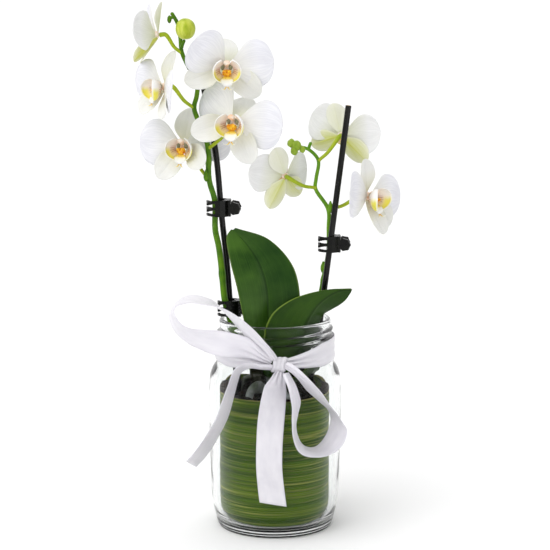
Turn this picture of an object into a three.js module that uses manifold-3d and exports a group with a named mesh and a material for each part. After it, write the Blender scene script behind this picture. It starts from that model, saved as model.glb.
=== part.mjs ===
// A miniature moth orchid with two flower spikes, planted in bark inside a clear glass jar.
// A leaf strip lines the jar, two stakes and three hinged clips hold the spikes, and a ribbon
// is tied round the neck in a bow. Millimetres, +Z up. The origin is the middle of the jar's
// flat bottom, and the front of the plant faces -Y.
import * as THREE from 'three';
import { mergeVertices } from 'three/addons/utils/BufferGeometryUtils.js';
import Module from 'manifold-3d';

const wasm = await Module();
wasm.setup();

// Driving dimensions
const GAP = 0.3;
const JAR_HEIGHT = 131;
const JAR_BASE_R = 35.5;
const BELLY_R = 40.9;
const SHOULDER_Z = 92;
const NECK_Z = 108;
const NECK_R = 34;
const RIM_R = 34.4;
const MOUTH_R = 31;
const WALL = 3.4;
const FLOOR = 4.5;
const THREAD_LIFT = 1.7;
const THREAD_PITCH = 6.4;
const THREAD_LOW_Z = 114;
const THREAD_TURNS = 1.35;
const LINING_R = 33.9;
const LINING_TOP = 86.5;
const LINING_THICK = 0.8;
const SOIL_TOP = 82;
const CROWN_R = 8;
const RIBBON_WIDTH = 16;
const RIBBON_THICK = 0.6;
const TAIL_SLANT = 0.05;
const STAKE_R = 1.85;
const PETAL_LENGTH = 29;
const PETAL_WIDTH = 29;
const SEPAL_LENGTH = 27;
const DORSAL_LENGTH = 24;
const SEPAL_WIDTH = 16;
const TEPAL_FOOT = 2;
const PETAL_THICK = 0.8;
const LEAF_THICK = 1.4;
const CLIP_HEIGHT = 10;
const CLIP_PLATE = 1.2;

// Small helpers

const vec = (p) => new THREE.Vector3(p[0], p[1], p[2]);

const route = (points) => new THREE.CatmullRomCurve3(points.map(vec), false, 'centripetal');

// The same points with both ends moved out along the line by a distance
function longer(points, by) {
  const moved = points.map(vec);
  const last = moved.length - 1;
  const pull = (end, next) => {
    moved[end].add(moved[end].clone().sub(moved[next]).setLength(by));
  };
  if (by > 0) {
    pull(0, 1);
    pull(last, last - 1);
  }
  return moved.map((p) => p.toArray());
}

// A random stream that starts the same way every time
function randomStream(seed) {
  let state = seed;
  return () => {
    state = (state * 16807) % 2147483647;
    return state / 2147483647;
  };
}

// An indexed closed geometry whose faces point out, whatever order they were listed in
function closedGeometry(points, faces) {
  let volume = 0;
  for (const [a, b, c] of faces) {
    volume += points[a].dot(new THREE.Vector3().crossVectors(points[b], points[c]));
  }
  const turned = volume > 0 ? faces : faces.map(([a, b, c]) => [a, c, b]);
  const geometry = new THREE.BufferGeometry();
  const flat = points.flatMap((p) => [p.x, p.y, p.z]);
  geometry.setAttribute('position', new THREE.Float32BufferAttribute(flat, 3));
  geometry.setIndex(turned.flat());
  return geometry;
}

function toSolid(geometry) {
  const bare = geometry.clone();
  bare.deleteAttribute('normal');
  bare.deleteAttribute('uv');
  const merged = mergeVertices(bare, 1e-4);
  return new wasm.Manifold(new wasm.Mesh({
    numProp: 3,
    vertProperties: new Float32Array(merged.attributes.position.array),
    triVerts: new Uint32Array(merged.index.array),
  }));
}

function toGeometry(solid) {
  const mesh = solid.getMesh();
  const geometry = new THREE.BufferGeometry();
  const positions = [];
  for (let i = 0; i < mesh.numVert; i += 1) {
    positions.push(...mesh.vertProperties.slice(i * mesh.numProp, i * mesh.numProp + 3));
  }
  geometry.setAttribute('position', new THREE.Float32BufferAttribute(positions, 3));
  geometry.setIndex(Array.from(mesh.triVerts));
  return geometry;
}

function fuse(geometries) {
  let solid = toSolid(geometries[0]);
  for (const other of geometries.slice(1)) {
    solid = solid.add(toSolid(other));
  }
  return toGeometry(solid);
}

// The biggest body of a cut solid, without the loose scraps that the cut leaves
function mainBody(solid) {
  return solid.decompose().reduce((best, body) => (body.volume() > best.volume() ? body : best));
}

// A thin closed blade: surface(u, v) is its middle, split alike on both faces
function blade(columns, rows, surface, thickness) {
  const points = [];
  const faces = [];
  const step = 1e-3;
  for (let i = 0; i <= columns; i += 1) {
    for (let j = 0; j <= rows; j += 1) {
      const u = i / columns;
      const v = j / rows;
      const along = surface(Math.min(u + step, 1), v).sub(surface(Math.max(u - step, 0), v));
      const across = surface(u, Math.min(v + step, 1)).sub(surface(u, Math.max(v - step, 0)));
      const normal = along.cross(across).normalize().multiplyScalar(thickness / 2);
      points.push(surface(u, v).add(normal), surface(u, v).sub(normal));
    }
  }
  const at = (i, j, side) => 2 * (i * (rows + 1) + j) + side;
  for (let i = 0; i < columns; i += 1) {
    for (let j = 0; j < rows; j += 1) {
      faces.push([at(i, j, 0), at(i + 1, j, 0), at(i + 1, j + 1, 0)]);
      faces.push([at(i, j, 0), at(i + 1, j + 1, 0), at(i, j + 1, 0)]);
      faces.push([at(i, j, 1), at(i + 1, j + 1, 1), at(i + 1, j, 1)]);
      faces.push([at(i, j, 1), at(i, j + 1, 1), at(i + 1, j + 1, 1)]);
    }
  }
  const edge = (a, b) => {
    faces.push([at(...b, 0), at(...a, 0), at(...a, 1)]);
    faces.push([at(...b, 0), at(...a, 1), at(...b, 1)]);
  };
  for (let i = 0; i < columns; i += 1) {
    edge([i, 0], [i + 1, 0]);
    edge([i + 1, rows], [i, rows]);
  }
  for (let j = 0; j < rows; j += 1) {
    edge([columns, j], [columns, j + 1]);
    edge([0, j + 1], [0, j]);
  }
  return closedGeometry(points, faces);
}

// A closed stem along a curve, with a radius that changes on the way
function limb(curve, radius, sides, steps) {
  const frames = curve.computeFrenetFrames(steps, false);
  const points = [];
  const faces = [];
  for (let i = 0; i <= steps; i += 1) {
    const t = i / steps;
    const centre = curve.getPointAt(t);
    for (let k = 0; k < sides; k += 1) {
      const angle = (k / sides) * Math.PI * 2;
      points.push(centre.clone()
        .addScaledVector(frames.normals[i], Math.cos(angle) * radius(t))
        .addScaledVector(frames.binormals[i], Math.sin(angle) * radius(t)));
    }
  }
  for (let i = 0; i < steps; i += 1) {
    for (let k = 0; k < sides; k += 1) {
      const a = i * sides + k;
      const b = i * sides + ((k + 1) % sides);
      faces.push([a, b, b + sides], [a, b + sides, a + sides]);
    }
  }
  const first = points.push(curve.getPointAt(0)) - 1;
  const last = points.push(curve.getPointAt(1)) - 1;
  for (let k = 0; k < sides; k += 1) {
    const next = (k + 1) % sides;
    faces.push([first, next, k]);
    faces.push([last, steps * sides + k, steps * sides + next]);
  }
  return closedGeometry(points, faces);
}

// A turned body whose profile [radius, z] starts and ends on the axis; relief lifts its surface
function turned(profile, segments, relief) {
  const points = [new THREE.Vector3(0, 0, profile[0][1])];
  const rings = profile.slice(1, -1);
  for (const [r, z] of rings) {
    for (let k = 0; k < segments; k += 1) {
      const angle = (k / segments) * Math.PI * 2;
      const lifted = relief(r, z, angle);
      points.push(new THREE.Vector3(Math.cos(angle) * lifted[0], Math.sin(angle) * lifted[0],
        lifted[1]));
    }
  }
  const end = points.push(new THREE.Vector3(0, 0, profile[profile.length - 1][1])) - 1;
  const faces = [];
  for (let k = 0; k < segments; k += 1) {
    const next = (k + 1) % segments;
    faces.push([0, 1 + next, 1 + k]);
    for (let i = 0; i + 1 < rings.length; i += 1) {
      const a = 1 + i * segments;
      const b = a + segments;
      faces.push([a + k, a + next, b + next], [a + k, b + next, b + k]);
    }
    const top = 1 + (rings.length - 1) * segments;
    faces.push([end, top + k, top + next]);
  }
  return closedGeometry(points, faces);
}

const plain = (r, z) => [r, z];

function ellipsoid(centre, radii, detail) {
  const ball = new THREE.IcosahedronGeometry(1, detail);
  ball.scale(...radii);
  ball.translate(...centre);
  return ball;
}

// Jar

// Height lifted by the thread at an angle: one rib that climbs round the neck and fades out
function threadLift(z, angle) {
  let lift = 0;
  for (let turn = 0; turn <= THREAD_TURNS; turn += 1) {
    const wound = turn + angle / (Math.PI * 2);
    const fade = Math.min(1, Math.max(0, wound / 0.1), Math.max(0, (THREAD_TURNS - wound) / 0.1));
    const away = (z - THREAD_LOW_Z - THREAD_PITCH * wound) / 1.6;
    lift = Math.max(lift, fade * Math.exp(-away * away));
  }
  return lift * THREAD_LIFT;
}

function jar() {
  const outer = [
    [0, 0],
    [JAR_BASE_R - 2, 0],
    [JAR_BASE_R, 1.2],
    [36.9, 6.5],
    [38.2, 11.6],
    [39.5, 20],
    [BELLY_R, 66],
    [40.8, 88],
    [40, SHOULDER_Z + 4],
    [38.4, 100.5],
    [36, 103.8],
    [NECK_R + 0.3, 106.5],
  ];
  for (let z = NECK_Z + 1; z < JAR_HEIGHT - 5; z += 2.3) {
    outer.push([NECK_R, z]);
  }
  const rim = [
    [RIM_R - 0.4, JAR_HEIGHT - 4],
    [RIM_R, JAR_HEIGHT - 2.2],
    [RIM_R - 0.5, JAR_HEIGHT - 0.6],
    [RIM_R - 1.5, JAR_HEIGHT],
    [MOUTH_R + 0.9, JAR_HEIGHT],
    [MOUTH_R, JAR_HEIGHT - 1],
  ];
  const inner = [
    [MOUTH_R, NECK_Z],
    [MOUTH_R + 1.2, 104.6],
    [36.4 - 1, 100],
    [BELLY_R - WALL - 0.6, SHOULDER_Z + 1],
    [BELLY_R - WALL, 66],
    [39.5 - WALL, 20],
    [34.6, 11],
    [32.6, 6.6],
    [29.5, FLOOR],
    [0, FLOOR],
  ];
  const inThread = (r, z) => r === NECK_R && z > NECK_Z;
  return turned([...outer, ...rim, ...inner], 24, (r, z, angle) => (
    [inThread(r, z) ? r + threadLift(z, angle) : r, z]));
}

// Leaf strip rolled inside the jar: it runs once round and its end lies inside its start

function liningRadius(z) {
  const heel = Math.max(0, 1 - (z - 5) / 13);
  return LINING_R - 5 * heel * heel;
}

function lining() {
  const overlap = THREE.MathUtils.degToRad(28);
  const start = THREE.MathUtils.degToRad(60);
  const low = FLOOR + 0.8;
  return blade(24, 3, (u, v) => {
    const z = low + (LINING_TOP - low) * v ** 1.5 + 0.5 * Math.sin(u * 9) * v;
    const angle = start + u * (Math.PI * 2 + overlap);
    const inward = u < 0.5 ? 0 : 1.4 * Math.min(1, Math.max(0, (u - 0.6) / 0.3));
    const r = liningRadius(z) - inward;
    return new THREE.Vector3(Math.cos(angle) * r, Math.sin(angle) * r, z);
  }, LINING_THICK);
}

// Stakes: two thin coated rods that stand in the bark

const STAKES = {
  left: [[-17, 2.8, 22], [-27, 1.9, 131], [-29.6, 1.8, 166], [-32.4, 1.6, 192],
    [-35.9, 1.2, 232], [-41.6, 0.6, 264], [-43.4, 0.4, 275]],
  right: [[14.6, 6, 22], [28.3, 5, 131], [44.6, 4, 261.3]],
};

function stake(side, swell = 0) {
  return limb(route(longer(STAKES[side], swell)), () => STAKE_R + swell, 8, side === 'left' ? 6 : 1);
}

// Crown with its roots: the short stem that the leaves, spikes and roots grow from

const ROOTS = [
  [[-5, -4, 85], [-10, -10.4, 89.6], [-15.4, -16.6, 90], [-18, -20.6, 78]],
  [[-5, 5, 88], [-13, 11, 90], [-19, 15, 84], [-20, 16, 74]],
  [[5, 5, 86], [10, 13, 88], [13, 19, 83], [13, 20, 74]],
  [[3, -6, 84], [6, -12, 85.5], [8, -18, 82], [8, -20, 73]],
];

function crown(swell = 0) {
  const stem = turned([[0, 66 - swell], [5 + swell, 66 - swell], [CROWN_R + swell, 76],
    [CROWN_R + swell, 95], [4.4, 100], [0, 101]], 12, plain);
  const roots = ROOTS.map((points, i) => (
    limb(route(longer(points, swell)), (t) => (i ? 2.3 : 3.1) * (1 - 0.25 * t) + swell, 6, 5)));
  return fuse([stem, ...roots]);
}

// Bark mix: a packed plug with loose chips on top, holed where the crown, roots and stakes stand

const EDGE_CHIPS = [
  { at: [-30.6, -9, 91.9], size: [4, 3.6, 4.2] },
  { at: [30.2, -5, 90.6], size: [3.2, 3.8, 3] },
];

function bark() {
  const random = randomStream(41);
  const bed = turned([[0, FLOOR + GAP + 0.3], [25, FLOOR + GAP + 0.3], [28.4, 12], [30.6, 24],
    [31, SOIL_TOP], [20, SOIL_TOP + 1], [0, SOIL_TOP]], 16,
  (r, z, angle) => (z < 80 ? [r, z] : [r, z + 0.9 * Math.sin(3 * angle + r)]));
  const chips = [];
  for (let i = 0; i < 4; i += 1) {
    const angle = i * 2.4;
    const out = 13 + 13 * Math.sqrt(random());
    const chip = ellipsoid([0, 0, 0], [2.4 + 1.6 * random(), 2 + random(), 1.3 + random()], 0);
    chip.rotateX(random() * 0.9);
    chip.rotateZ(random() * 6);
    chip.translate(Math.cos(angle) * out, Math.sin(angle) * out, SOIL_TOP + 0.8);
    chips.push(chip);
  }
  for (const { at, size } of EDGE_CHIPS) {
    const chip = ellipsoid([0, 0, 0], size, 0);
    chip.rotateZ(random() * 6);
    chip.translate(...at);
    chips.push(chip);
    chips.push(ellipsoid([at[0] * 0.9, at[1] * 0.9, SOIL_TOP + 2], [2.4, 2.4, 7.5], 0));
  }
  let solid = toSolid(fuse([bed, ...chips]));
  for (const filled of [crown(GAP), stake('left', GAP), stake('right', GAP)]) {
    solid = solid.subtract(toSolid(filled));
  }
  return toGeometry(mainBody(solid));
}

// Leaves: each one is a surface between its two margins with the midrib between them

const LEAVES = {
  leaf_upright: {
    left: [[-8.4, -4.1, 95], [-11, -8, 106], [-16.5, -12.5, 120], [-20, -14, 137],
      [-23.3, -13, 152.6], [-27.4, -10, 168.4], [-29.4, -6.6, 182.5], [-26.8, -5.6, 186.6]],
    middle: [[-5, -7.9, 94], [-5, -9.2, 106], [-4.4, -10, 119], [-4.3, -10.2, 133],
      [-5.2, -9.4, 150.6], [-9.8, -8, 166.1], [-17.9, -6, 178.3], [-25.4, -5.2, 186.4]],
    right: [[0.6, -9.3, 94], [5, -10.8, 106], [10, -12, 119], [14, -13, 134],
      [15, -13.2, 149], [10.6, -10.6, 165.5], [-4, -7.6, 181], [-24, -5.4, 187.6]],
  },
  leaf_right: {
    left: [[-1.4, -11.8, 95], [-4, -17, 108], [-6.6, -21.6, 124], [-2, -22, 137],
      [8, -20.6, 145], [19, -17, 148.8], [33, -12, 150.8], [46.4, -9.2, 150.8]],
    middle: [[6.4, -9.5, 93], [10.6, -13.4, 105], [15.6, -15.4, 119], [19, -15.4, 131],
      [24.4, -14, 140], [31, -12.6, 146], [38, -11, 149.4], [47, -9, 150]],
    right: [[10, -3.8, 94], [19, -6.4, 107], [24.8, -7, 121], [29.6, -5.4, 134],
      [35, -5.6, 137.4], [39.4, -6.2, 140], [43.4, -7.4, 143.6], [46.6, -8.8, 149]],
  },
  leaf_inner: {
    left: [[3.4, -9.4, 88.4], [9.6, -17.6, 94], [17, -19, 101], [23, -13, 107.4]],
    middle: [[8, -5, 88], [15.4, -9, 91.6], [21.6, -10.8, 97.4], [25.6, -10.4, 107.6]],
    right: [[9.4, 0.4, 88], [19.4, 1, 91.6], [26.4, -2.6, 98.4], [27, -8, 107.6]],
  },
};

function leaf(name) {
  const rails = LEAVES[name];
  const left = route(rails.left);
  const middle = route(rails.middle);
  const right = route(rails.right);
  return blade(8, 4, (u, v) => {
    const share = Math.abs(2 * v - 1);
    const bent = share * (1.25 - 0.25 * share);
    const margin = (v < 0.5 ? left : right).getPoint(u);
    return middle.getPoint(u).lerp(margin, bent);
  }, LEAF_THICK);
}

// Blooms: x is the viewer's right, y is up and z is the way that the flower faces

// Half width along a petal or sepal: a narrow foot, the widest place, and a rounded end
function outline(u, peak, foot) {
  if (u < peak) {
    return foot + (1 - foot) * Math.sin((u / peak) * Math.PI / 2) ** 1.1;
  }
  const past = (u - peak) / (1 - peak);
  return Math.max(0.11, Math.sqrt(Math.max(0, 1 - past ** 2.2)));
}

function tepal({ turn, length, width, peak, foot, lift, curl, cup, depth }) {
  const angle = THREE.MathUtils.degToRad(turn);
  const lean = 1 / Math.hypot(1, lift);
  return (u, v) => {
    const reach = Math.sin(u * Math.PI / 2) ** 1.15;
    const along = TEPAL_FOOT + (length - TEPAL_FOOT) * reach * lean;
    const across = (2 * v - 1) * (width / 2) * outline(reach, peak, foot);
    const forward = depth + length * (lift * lean * reach - curl * reach * reach)
      - cup * across * across / width;
    return new THREE.Vector3(
      Math.sin(angle) * along + Math.cos(angle) * across,
      Math.cos(angle) * along - Math.sin(angle) * across,
      forward,
    );
  };
}

// A flower head: the hub, the column and five blades, each given by its turn and its lift
function bloomBody({ petals, sepals, curl, size }) {
  const petalBlades = petals.map(([turn, lift]) => blade(5, 3, tepal({
    turn,
    lift,
    curl,
    length: PETAL_LENGTH,
    width: PETAL_WIDTH,
    peak: 0.6,
    foot: 0.09,
    cup: 0.35,
    depth: 0.7,
  }), PETAL_THICK));
  const sepalBlades = sepals.map(([turn, lift], i) => blade(4, 2, tepal({
    turn,
    lift,
    curl: curl * 0.6 - 0.02,
    length: i ? SEPAL_LENGTH : DORSAL_LENGTH,
    width: SEPAL_WIDTH,
    peak: 0.5,
    foot: 0.17,
    cup: -0.5,
    depth: -1.1,
  }), PETAL_THICK));
  return fuse([
    ellipsoid([0, 0, 0], [3.4, 3.4, 2.5], 0),
    ellipsoid([0, 1.2, 4], [2, 1.9, 3.7], 0),
    ...petalBlades,
    ...sepalBlades,
  ]).scale(size, size, size);
}

// Lip: two side lobes that stand up beside the column, a pointed middle lobe and its callus
function lipBody({ size }) {
  const lobe = (side) => blade(3, 2, (u, v) => {
    const swing = THREE.MathUtils.degToRad(-78 + 150 * v);
    const bowl = 2.4 + 5 * Math.sin(Math.min(1, 0.25 + u) * Math.PI * 0.62);
    return new THREE.Vector3(side * (1 + bowl * Math.cos(swing)), -1.4 + bowl * Math.sin(swing),
      5 + 8 * u);
  }, 0.8);
  const middle = blade(2, 2, (u, v) => {
    const half = 1.2 + 3.6 * Math.sin(Math.min(1, u * 1.15) * Math.PI);
    const dip = 4.6 + 6.4 * u;
    return new THREE.Vector3((2 * v - 1) * half, -dip, 5 + 9 * u - 5 * u * u);
  }, 0.9);
  return fuse([
    ellipsoid([0, -2.7, 5.1], [4.4, 2.1, 2.9], 0),
    lobe(1),
    lobe(-1),
    middle,
  ]).scale(size, size, size);
}

// Each bloom: its place, facing, size and, seen from its own front, [turn, lift] of every blade
const BLOOMS = [
  { at: [-70.8, -6, 304.3], face: [-0.98, 0.14, -0.04], size: 0.82, curl: 0.1,
    petals: [[-58, 0.5], [74, 0.55]], sepals: [[-6, -0.1], [-155, 0.8], [146, 0.85]] },
  { at: [-28.8, -20, 286.6], face: [0.06, -0.99, -0.05], size: 0.98, curl: 0.12,
    petals: [[-54, 0.5], [84, 0.12]], sepals: [[-3, -1.5], [-112, -0.1], [131, 0.1]] },
  { at: [-66.2, -14, 274.2], face: [-0.86, -0.5, 0.03], size: 0.9, curl: 0.12,
    petals: [[-80, 0.38], [97, 0.42]], sepals: [[2, -0.2], [-136, 0.5], [139, 0.42]] },
  { at: [-24, -23, 254.8], face: [-0.26, -0.96, -0.04], size: 1.02, curl: 0.12,
    petals: [[-54, -0.42], [97, 0.1]], sepals: [[10, -2.4], [-106, 0.32], [158, 0.12]] },
  { at: [-55.3, 2, 237.3], face: [-0.25, -0.97, 0.03], size: 0.98, curl: 0.12,
    petals: [[-86, 0.1], [77, -0.5]], sepals: [[2, -0.45], [-141, 0.1], [120, 0.9]] },
  { at: [6.1, 2, 218.4], face: [-0.4, 0.9, 0.1], size: 0.82, curl: 0.14,
    petals: [[-84, 0.72], [80, 0.22]], sepals: [[24, 0.05], [-134, 0.5], [154, 0.12]] },
  { at: [40.7, 16, 242], face: [0.25, 0.96, 0.1], size: 0.85, curl: 0.12,
    petals: [[-88, 0.35], [60, 0.42]], sepals: [[12, 0], [-138, 0.2], [112, 0.35]] },
  { at: [56.7, 8, 205.2], face: [0.8, -0.6, 0.05], size: 0.97, curl: 0.12,
    petals: [[-80, 0.3], [97, 0.34]], sepals: [[-6, 0.12], [172, 0.5], [138, 0.32]] },
];

// The turn and place that take a flower from its own axes into the plant's
function flowerMatrix({ at, face }) {
  const forward = vec(face).normalize();
  const right = new THREE.Vector3(0, 0, 1).cross(forward).normalize();
  const up = new THREE.Vector3().crossVectors(forward, right);
  return new THREE.Matrix4().makeBasis(right, up, forward).setPosition(vec(at));
}

// Spikes: the arching flower stems, each with its flower stalks, bracts and closed tip buds

const SPIKES = {
  left: {
    stem: [[-10, -0.8, 91.4], [-15, -1.6, 101], [-23.4, -2.4, 117], [-27.8, -2.3, 131],
      [-30.9, -2.2, 143], [-32.6, -2.2, 161.5], [-34.4, -2.6, 175.9], [-36.4, -3.2, 186],
      [-36.6, -3.8, 204], [-39.9, -5, 217], [-40.4, -6, 235.8], [-42.4, -6.4, 245],
      [-48.6, -7, 260.4], [-47, -7, 268], [-46.6, -7, 276], [-51, -8, 284], [-55.6, -8, 294],
      [-56.8, -4, 303], [-58.4, -2.6, 311], [-62, -3, 317.6]],
    thick: 2.15,
    thin: 1.1,
    joints: [0.3, 0.6],
    flowers: [
      { index: 0, from: [-55.4, -8, 293.6] },
      { index: 1, from: [-46.6, -7, 273.6] },
      { index: 2, from: [-48.4, -7, 260.6] },
      { index: 3, from: [-40.4, -6, 236] },
      { index: 4, from: [-40, -5, 217] },
    ],
    bracts: [[-36.2, -5, 187], [-42.4, -8, 245.6], [-41.6, -6.8, 219.4]],
    tips: [{ at: [-63.2, -3, 313.4], size: [1.3, 1.3, 2.4] }],
    tipStalks: [[[-60.4, -2.8, 315], [-62, -3, 314.4], [-63.2, -3, 313.6]]],
    budStalk: [[-55.9, -8, 296], [-55, -11, 299], [-53.8, -12.1, 301.9]],
  },
  right: {
    stem: [[7.3, 6.3, 91], [14, 8.8, 106], [21.6, 9, 121], [25.9, 8.9, 131], [28.6, 8.8, 146],
      [30.9, 8.8, 159], [33, 8.9, 171.7], [33, 8.8, 184.8], [32.6, 8.4, 197], [24.8, 8, 210],
      [25.2, 8, 216], [26.4, 8, 227.4], [20.4, 8, 234], [15, 8, 235.6]],
    thick: 1.65,
    thin: 1.0,
    joints: [0.42],
    flowers: [
      { index: 5, from: [24.9, 8, 210.4] },
      { index: 6, from: [26.4, 8, 227] },
      { index: 7, from: [32.6, 8.4, 197] },
    ],
    bracts: [[29.8, 10, 160], [34, 7.4, 198]],
    tips: [
      { at: [13, 7.6, 236.2], size: [3.1, 2.9, 3.2] },
      { at: [10, 8.4, 237.6], size: [2.5, 2.4, 2.8] },
      { at: [11.8, 6.6, 233.2], size: [2.3, 2.2, 2.7] },
      { at: [16.8, 7.2, 234], size: [1.8, 1.8, 2.1] },
    ],
    tipStalks: [[[20.6, 8, 233.8], [21, 7.6, 236], [22, 7.2, 238.6]]],
    budStalk: null,
  },
};

// A flower's stalk leaves the stem, swings out and meets the back of its flower head on
function flowerStalk(from, flower) {
  const behind = -2.13 * flower.size - GAP;
  const back = new THREE.Vector3(0, 0, behind).applyMatrix4(flowerMatrix(flower));
  const straight = new THREE.Vector3(0, 0, behind - 3.4).applyMatrix4(flowerMatrix(flower));
  const start = vec(from);
  const swing = start.clone().lerp(straight, 0.45).add(new THREE.Vector3(0, 0, -1.6));
  const curve = new THREE.CatmullRomCurve3([start, swing, straight, back], false, 'centripetal');
  return limb(curve, (t) => 1.15 + 0.35 * t * t, 5, 4);
}

function spike(side) {
  const { stem, thick, thin, joints, flowers, bracts, tips, tipStalks, budStalk } = SPIKES[side];
  const girth = (t) => {
    const swell = joints.reduce((sum, at) => sum + Math.exp(-(((t - at) / 0.012) ** 2)), 0);
    return thick + (thin - thick) * t ** 1.4 + 0.35 * swell;
  };
  const stalks = flowers.map(({ index, from }) => flowerStalk(from, BLOOMS[index]));
  const scales = bracts.map(([x, y, z]) => ellipsoid([x, y, z], [1.7, 1.5, 3.4], 0));
  const buds = tips.map(({ at, size }) => ellipsoid(at, size, 0));
  const twigs = tipStalks.map((points) => limb(route(points), () => 0.9, 5, 3));
  const parts = [limb(route(stem), girth, 6, 20), ...stalks, ...scales, ...buds, ...twigs];
  if (budStalk) {
    parts.push(limb(route(budStalk), () => 1.1, 6, 4));
  }
  return fuse(parts);
}

function closedBud() {
  const bud = turned([[0, -6.3], [2.6, -5.7], [4.9, -3.6], [6, -0.4], [5.4, 3], [3, 5.4],
    [0, 6.4]], 10, (r, z, angle) => [r * (1 + 0.035 * Math.cos(3 * angle)), z]);
  bud.rotateX(-0.25);
  bud.translate(-53.2, -13.6, 308.4);
  return bud;
}

// Clips: a front and a back jaw with comb fingers turn on one hinge pin behind the pads

const CLIPS = [
  { name: 'clip_upper_left', at: [-35, -1.5, 199.5], reach: 5.3, pivot: 6.2 },
  { name: 'clip_lower_left', at: [-28.6, -0.4, 137.2], reach: 4.4, pivot: 5.8 },
  { name: 'clip_right', at: [33.2, 6.6, 176], reach: 4.5, pivot: 5.1 },
];
const PIN_R = 0.9;
const KNUCKLE_R = 2.2;
const PAD_R = 4.1;
const PAD_SPLAY = THREE.MathUtils.degToRad(22);

// A flat bar that follows a path in the plane of the clip and stands from low to high
function bar(path, low, high) {
  const curve = new THREE.CatmullRomCurve3(path.map(([x, y]) => vec([x, y, 0])));
  const sides = [[], []];
  const count = path.length - 1;
  for (let i = 0; i <= count; i += 1) {
    const centre = curve.getPoint(i / count);
    const along = curve.getTangent(i / count);
    const half = CLIP_PLATE / 2;
    sides[0].push(new THREE.Vector2(centre.x - along.y * half, centre.y + along.x * half));
    sides[1].unshift(new THREE.Vector2(centre.x + along.y * half, centre.y - along.x * half));
  }
  const shape = new THREE.Shape([...sides[0], ...sides[1]]);
  const body = new THREE.ExtrudeGeometry(shape, { depth: high - low, bevelEnabled: false });
  body.translate(0, 0, low);
  return body;
}

function ring(outer, inner, low, high) {
  const shape = new THREE.Shape();
  shape.absarc(0, 0, outer, 0, Math.PI * 2, false);
  if (inner > 0) {
    const hole = new THREE.Path();
    hole.absarc(0, 0, inner, 0, Math.PI * 2, true);
    shape.holes.push(hole);
  }
  const settings = { depth: high - low, bevelEnabled: false, curveSegments: 4 };
  const body = new THREE.ExtrudeGeometry(shape, settings);
  body.translate(0, 0, low);
  return body;
}

// The round grip pad, with a ribbed edge, splayed away from the other jaw's pad
function pad(pivot) {
  const shape = new THREE.Shape();
  const ribs = 7;
  for (let i = 0; i < ribs * 2; i += 1) {
    const r = i % 2 ? PAD_R - 0.5 : PAD_R;
    const angle = (i / (ribs * 2)) * Math.PI * 2;
    shape[i ? 'lineTo' : 'moveTo'](Math.cos(angle) * r, Math.sin(angle) * r);
  }
  const body = new THREE.ExtrudeGeometry(shape, { depth: 1.5, bevelEnabled: false });
  body.rotateX(Math.PI / 2);
  body.translate(PAD_R + 0.5, 0.75, 0);
  body.rotateZ(-PAD_SPLAY);
  body.translate(pivot, -3.2, 0);
  return body;
}

// The front jaw; the back one is its mirror image with the fingers set between
function jaw({ reach, pivot }, front) {
  const half = CLIP_HEIGHT / 2;
  const heights = front ? [-3.9, 0, 3.9] : [-1.95, 1.95];
  const fingerPath = [[-6.2, -0.5], [-5.4, -2.8], [-3.2, -reach - 0.4], [0, -reach - 1]];
  const platePath = [[-1.2, -reach - 1], [1.6, -reach - 0.9], [pivot - 1.8, -reach],
    [pivot, -3.3], [pivot + 1.8, -3.9]];
  const parts = [bar(platePath, -half, half), pad(pivot)];
  for (const z of heights) {
    parts.push(bar(fingerPath, z - 0.8, z + 0.8));
  }
  const knuckles = front ? [[-half, -3], [3, half]] : [[-2.7, -1.6], [1.6, 2.7]];
  for (const [low, high] of knuckles) {
    const round = ring(KNUCKLE_R, front ? PIN_R + GAP + 0.05 : 0, low, high);
    round.translate(pivot, 0, 0);
    const web = new THREE.BoxGeometry(2, 1.7, high - low);
    web.translate(pivot, -2.4, (low + high) / 2);
    parts.push(round, web);
  }
  if (!front) {
    const pin = ring(PIN_R, 0, -half, half);
    pin.translate(pivot, 0, 0);
    parts.push(pin);
  }
  const body = fuse(parts);
  if (!front) {
    body.scale(1, -1, 1);
    body.setIndex([...body.index.array].reverse());
  }
  return body;
}

// The coil spring between the knuckles, as one ribbed sleeve round the pin
function clipSpring({ pivot }) {
  const profile = [];
  const turns = 2;
  for (let i = 0; i <= turns * 2; i += 1) {
    profile.push(new THREE.Vector2(i % 2 ? 2 : 1.7, -1.25 + (2.5 * i) / (turns * 2)));
  }
  const bore = PIN_R + GAP + 0.2;
  profile.push(new THREE.Vector2(bore, 1.25), new THREE.Vector2(bore, -1.25));
  profile.push(profile[0].clone());
  const sleeve = new THREE.LatheGeometry(profile, 6);
  sleeve.rotateX(Math.PI / 2);
  sleeve.translate(pivot, 0, 0);
  return sleeve;
}

// Ribbon: every stretch is a strip that follows stations with a place, a crosswise way, a width

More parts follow.
